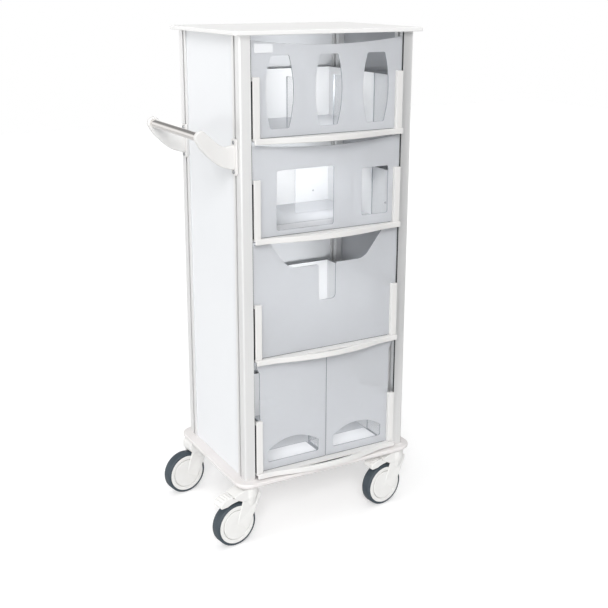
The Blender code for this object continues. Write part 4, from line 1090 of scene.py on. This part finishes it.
# Turned stainless steel: grey and bright. Its 0.2 mm tool marks are drawn at 0.6 mm to show.
screw_steel = finish(
    "stainless_steel_turned", ("#8D8F92", "#B2B4B6"), patch=(0.0006, 2.0),
    sockets={"Metallic": 1.0, "Roughness": 0.34})

screw = drum("screw", SCREW_RADIUS, (0, 0, SCREW_HEIGHT / 2), SCREW_HEIGHT, "Z", 32)
pick(screw, "EDGE", lambda edge: all(point.co.z > SCREW_HEIGHT / 2 for point in edge.verts))
round_edges(SCREW_DOME, 4)
carve(screw, drum("socket", SOCKET_RADIUS, (0, 0, SCREW_HEIGHT), SCREW_HEIGHT, "Z", 6))
settle(screw)
dressed(screw, screw_steel)


def screwed(name, place, turn, body, scale=1.0):
    """A copy of the screw with its head facing along the turned upright axis."""
    head = copied(screw, name)
    head.location = place
    head.rotation_euler = turn
    head.scale = (scale, scale, scale)
    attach(baked(head), body)


pan_back = base_y + PAN_BACK - PAN_WALL
for tier, lift in PAN_SCREW_LIFTS.items():
    for side, way in SIDES:
        screwed(
            "pan_screw_%d_%s" % (tier, side),
            (base_x + way * PAN_SCREW_REACH, pan_back, tray_tops[tier] + lift),
            FACING_FRONT, "tray_%d" % tier)
for side, way in SIDES:
    screwed(
        "wall_screw_" + side,
        (base_x + way * inner, base_y - WALL_SCREW_FORWARD, tray_tops[2] + WALL_SCREW_LIFT),
        FACING_LEFT if way > 0 else FACING_RIGHT, "tray_2")


# Push handle: a polished stainless tube held between two moulded ABS arms. Each
# arm sweeps up from a flange that is screwed over the post's outer slot.
FRAME_HALF = 0.256
BAR_RADIUS = 0.011
BAR_EDGE = 0.0008
ARM_HALF = 0.007
ARM_ROUND = 0.0035
FLANGE_HALF = 0.015
FLANGE_LOW = 1.023
FLANGE_HIGH = 1.115
FLANGE_THICKNESS = 0.005
FLANGE_CORNER = 0.006
FLANGE_EDGE = 0.0015
HANDLE_SCREWS = (("low", 1.031), ("high", 1.106))
HANDLE_SCREW_SCALE = 1.7
ARM_STEPS = 8
ARM_BOSS = 0.017
ARM_ROOT_LOW = 1.042
ARM_ROOT_HIGH = 1.096
ARM_BELOW = ((0, 0), (0.30, 0.01), (0.60, 0.19))
ARM_CHIN = (0.12, -1.95)
ARM_CROWN = (218, 180, 140, 100, 60)
ARM_ABOVE = ((0.54, 0.42), (0.30, 0.02), (0, 0))

bar_low, bar_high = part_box("handle_bar")
bar_x = (bar_low[0] + bar_high[0]) / 2
bar_z = (bar_low[2] + bar_high[2]) / 2
bar_middle = (bar_x, (bar_low[1] + bar_high[1]) / 2, bar_z)
bar = drum("bar_tube", BAR_RADIUS, bar_middle, bar_high[1] - bar_low[1], "Y", 64)
settle(bar, BAR_EDGE)


def swept(points, steps):
    """Smooth closed line through the points."""
    line = []
    count = len(points)
    for i in range(count):
        before, start, end, after = (points[(i + k) % count] for k in (-1, 0, 1, 2))
        for step in range(steps):
            t = step / steps
            line.append(tuple(
                0.5 * (2 * b + (c - a) * t + (2 * a - 5 * b + 4 * c - d) * t * t
                       + (3 * b - a - 3 * c + d) * t ** 3)
                for a, b, c, d in zip(before, start, end, after)))
    return line


arm_root = base_x - FRAME_HALF - FLANGE_THICKNESS / 2
run = arm_root - bar_x


def arm_edge(root, shares):
    """Points of the arm's edge, as shares of the way from its root to the bar."""
    return [(arm_root - along * run, root + up * (bar_z - root)) for along, up in shares]


arm_line = arm_edge(ARM_ROOT_LOW, ARM_BELOW)
arm_line.append((bar_x + ARM_CHIN[0] * ARM_BOSS, bar_z + ARM_CHIN[1] * ARM_BOSS))
for degrees in ARM_CROWN:
    angle = math.radians(degrees)
    arm_line.append((bar_x + ARM_BOSS * math.cos(angle), bar_z + ARM_BOSS * math.sin(angle)))
arm_line = swept(arm_line + arm_edge(ARM_ROOT_HIGH, ARM_ABOVE), ARM_STEPS)

# Polished stainless tube: bright and mirror-like, with a fine lengthwise polish
# about 0.2 mm wide, drawn at 0.8 mm.
polished_steel = finish(
    "stainless_steel_polished_tube", ("#D6D2CF", "#E4E1DE"), patch=(0.0008, 2.0), stretch=(1.0, 0.02, 1.0),
    gloss=("patch", 0.06, 0.12), sockets={"Metallic": 1.0})
dressed(bar, polished_steel)
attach(bar, "cart")
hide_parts("handle_bar")

for side in ("front", "rear"):
    low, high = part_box("handle_bracket_" + side)
    line = (low[1] + high[1]) / 2
    bracket = slab("bracket_" + side + "_moulding", arm_line, line - ARM_HALF, line + ARM_HALF)
    settle(bracket, ARM_ROUND, 4, 60)
    outside = high[0] - FLANGE_THICKNESS
    flange = block(
        "flange", (outside, line - FLANGE_HALF, FLANGE_LOW), (high[0], line + FLANGE_HALF, FLANGE_HIGH))
    pick(flange, "EDGE", lambda edge: runs(edge, 0))
    round_edges(FLANGE_CORNER, 6)
    settle(flange, FLANGE_EDGE, 3)
    join(bracket, flange)
    dressed(bracket, satin_abs)
    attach(bracket, "cart")
    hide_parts("handle_bracket_" + side)
    for end, height in HANDLE_SCREWS:
        screwed(
            "handle_screw_" + side + "_" + end, (outside, line, height), FACING_LEFT, "cart",
            HANDLE_SCREW_SCALE)
bpy.data.objects.remove(screw)


# Worktop: a solid white laminate slab that overhangs the frame, with eased edges
# and small rounded corners, screwed down from inside.
TOP_CORNER = 0.008
TOP_EDGE = 0.0018

top_low, top_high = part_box("worktop")
worktop = block("worktop_slab", top_low, top_high)
pick(worktop, "EDGE", lambda edge: runs(edge, 2))
round_edges(TOP_CORNER, 8)
settle(worktop, TOP_EDGE, 3)

# High-pressure laminate: white with a faint pebbled press texture, about 1.5 mm.
laminate = finish(
    "laminate_pressed_white", ("#ECEBEA", "#F0F0EF"), patch=(0.150, 2.0), grain=(0.0015, 2.0),
    gloss=("grain", 0.30, 0.40), relief=(0.08, 0.0001), sockets={"IOR": 1.5})
dressed(worktop, laminate)
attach(worktop, "cart")
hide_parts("worktop")


# Studio: a plain pale floor that shows as white paper, a dim white room, and three
# soft lights: one from beside the camera, one from the left and one from above.
# A sun of strength pi lights white paper to full white.
FLOOR_HALF = 8.0
FLOOR_GLOW = 0.32
ROOM_LIGHT = 0.45
WALL_SHINE = 1.15
CEILING_SHINE = 0.34
CEILING_FROM = 0.16
CEILING_TO = 0.34

alone()
bpy.ops.mesh.primitive_plane_add(size=2 * FLOOR_HALF, location=(0, 0, 0))
floor = applied("studio_floor")

# Matt paper: white, with a faint mottle some 400 mm wide, lifted to clean white where it is seen.
white_paper = finish(
    "paper_roll_white", ("#DFDFDF", "#E2E2E2"), patch=(0.400, 2.0),
    sockets={"Roughness": 0.9, "Emission Color": linear("#FFFFFF")})
sight = add_node(white_paper, "LightPath")
glow = add_node(white_paper, "MapRange", {"To Max": FLOOR_GLOW}, {"Value": sight.outputs["Is Camera Ray"]})
paper_shader = white_paper.node_tree.nodes["Principled BSDF"]
white_paper.node_tree.links.new(glow.outputs["Result"], paper_shader.inputs["Emission Strength"])
dressed(floor, white_paper)

room = bpy.data.worlds.new("white_room")
room.use_nodes = True
bpy.context.scene.world = room
sight = add_node(room, "LightPath")
seen = add_node(
    room, "MapRange", {"To Min": ROOM_LIGHT, "To Max": 1.0}, {"Value": sight.outputs["Is Camera Ray"]})
direction = add_node(room, "TexCoord")
height = add_node(room, "SeparateXYZ", links={"Vector": direction.outputs["Generated"]})
walls = add_node(
    room, "MapRange",
    {"From Min": CEILING_FROM, "From Max": CEILING_TO, "To Min": WALL_SHINE, "To Max": CEILING_SHINE},
    {"Value": height.outputs["Z"]})
shine = add_node(
    room, "Mix", {"data_type": "FLOAT"},
    {"Factor": sight.outputs["Is Glossy Ray"], "A": seen.outputs["Result"], "B": walls.outputs["Result"]})
room_light = room.node_tree.nodes["Background"]
room_light.inputs["Color"].default_value = linear("#FFFFFF")
room.node_tree.links.new(shine.outputs["Result"], room_light.inputs["Strength"])


def placed(name, data):
    """A light or camera in the scene."""
    holder = bpy.data.objects.new(name, data)
    bpy.context.scene.collection.objects.link(holder)
    return holder


# Each light's place, its share of full white and its spread in degrees
SUNS = {
    "front_light": ((-1.4, -2.5, 1.75), 0.66, 26),
    "left_light": ((-3.0, -0.3, 0.8), 0.25, 60),
    "above_light": ((-0.5, -0.5, 4.0), 0.20, 70),
}
for name, (place, share, spread) in SUNS.items():
    light = bpy.data.lights.new(name, "SUN")
    light.energy = share * math.pi
    light.angle = math.radians(spread)
    holder = placed(name, light)
    holder.location = place
    level = math.hypot(place[0], place[1])
    holder.rotation_euler = (math.atan2(level, place[2]), 0, math.atan2(-place[1], -place[0]) - math.pi / 2)

# A grey vinyl screen hangs in front of the cart's right-hand side, out of the picture, and
# keeps some of the room's light off that side.
SCREEN_LOW = (0.50, -0.96, 0.02)
SCREEN_HIGH = (1.20, -0.95, 1.60)

screen = block("shade_screen", SCREEN_LOW, SCREEN_HIGH)
dressed(screen, grey_vinyl_and_painted_shade)
screen.visible_camera = False
screen.visible_shadow = False

# Small lamps behind the front sheets stand for the light that the pale sheets let in. Each
# has its tier, what it lights, its watts and width, its place to the right, above the tray
# and behind the sheet, and its tilt and turn in degrees.
LAMP_HEIGHT = 0.06
LAMP_SPREAD = 110
TIER_LAMPS = (
    (1, "wall", 0.26, 0.09, 0.132, 0.108, 0.034, 95, 18),
    (2, "wall", 0.33, 0.12, 0.115, 0.108, 0.034, 89, 18),
    (3, "wall", 0.28, 0.12, 0.125, 0.108, 0.034, 95, 18),
    (4, "wall", 0.19, 0.40, 0.000, 0.140, 0.012, 80, 0),
    (4, "foot", 0.08, 0.36, 0.000, 0.110, 0.050, 10, 0))
LIGHT_BOUNCES = 12

for tier, use, power, width, shift, height, setback, tilt, turn in TIER_LAMPS:
    lamp = bpy.data.lights.new("tier_%d_%s_light" % (tier, use), "AREA")
    lamp.shape = "RECTANGLE"
    lamp.size = width
    lamp.size_y = LAMP_HEIGHT
    lamp.spread = math.radians(LAMP_SPREAD)
    lamp.energy = power
    holder = placed(lamp.name, lamp)
    holder.location = (base_x + shift, sheet_back + setback, tray_tops[tier] + height)
    holder.rotation_euler = (math.radians(tilt), 0, math.radians(turn))
    holder.visible_camera = False
    holder.visible_glossy = False
    holder.visible_transmission = False
bpy.context.scene.cycles.diffuse_bounces = LIGHT_BOUNCES

# Camera: at the left in front of the cart, above its middle, looking down; lengths in mm
# for lens and sensor, place from the cart's middle, angles in degrees.
LENS = 60.2
SENSOR = 36.0
SHIFT = -0.05
CAMERA_PLACE = (-1.3437, -2.4563, 1.4909)
LOOK_DOWN = 15.98
ROLL = -0.15
LOOK_RIGHT = 29.20

camera_data = bpy.data.cameras.new("portrait_camera")
camera_data.lens = LENS
camera_data.sensor_width = SENSOR
camera_data.shift_y = SHIFT
camera = placed("portrait_camera", camera_data)
camera.location = (base_x + CAMERA_PLACE[0], base_y + CAMERA_PLACE[1], CAMERA_PLACE[2])
camera.rotation_euler = (math.radians(90 - LOOK_DOWN), math.radians(ROLL), math.radians(-LOOK_RIGHT))
bpy.context.scene.camera = camera
bpy.context.scene.view_settings.view_transform = "Standard"
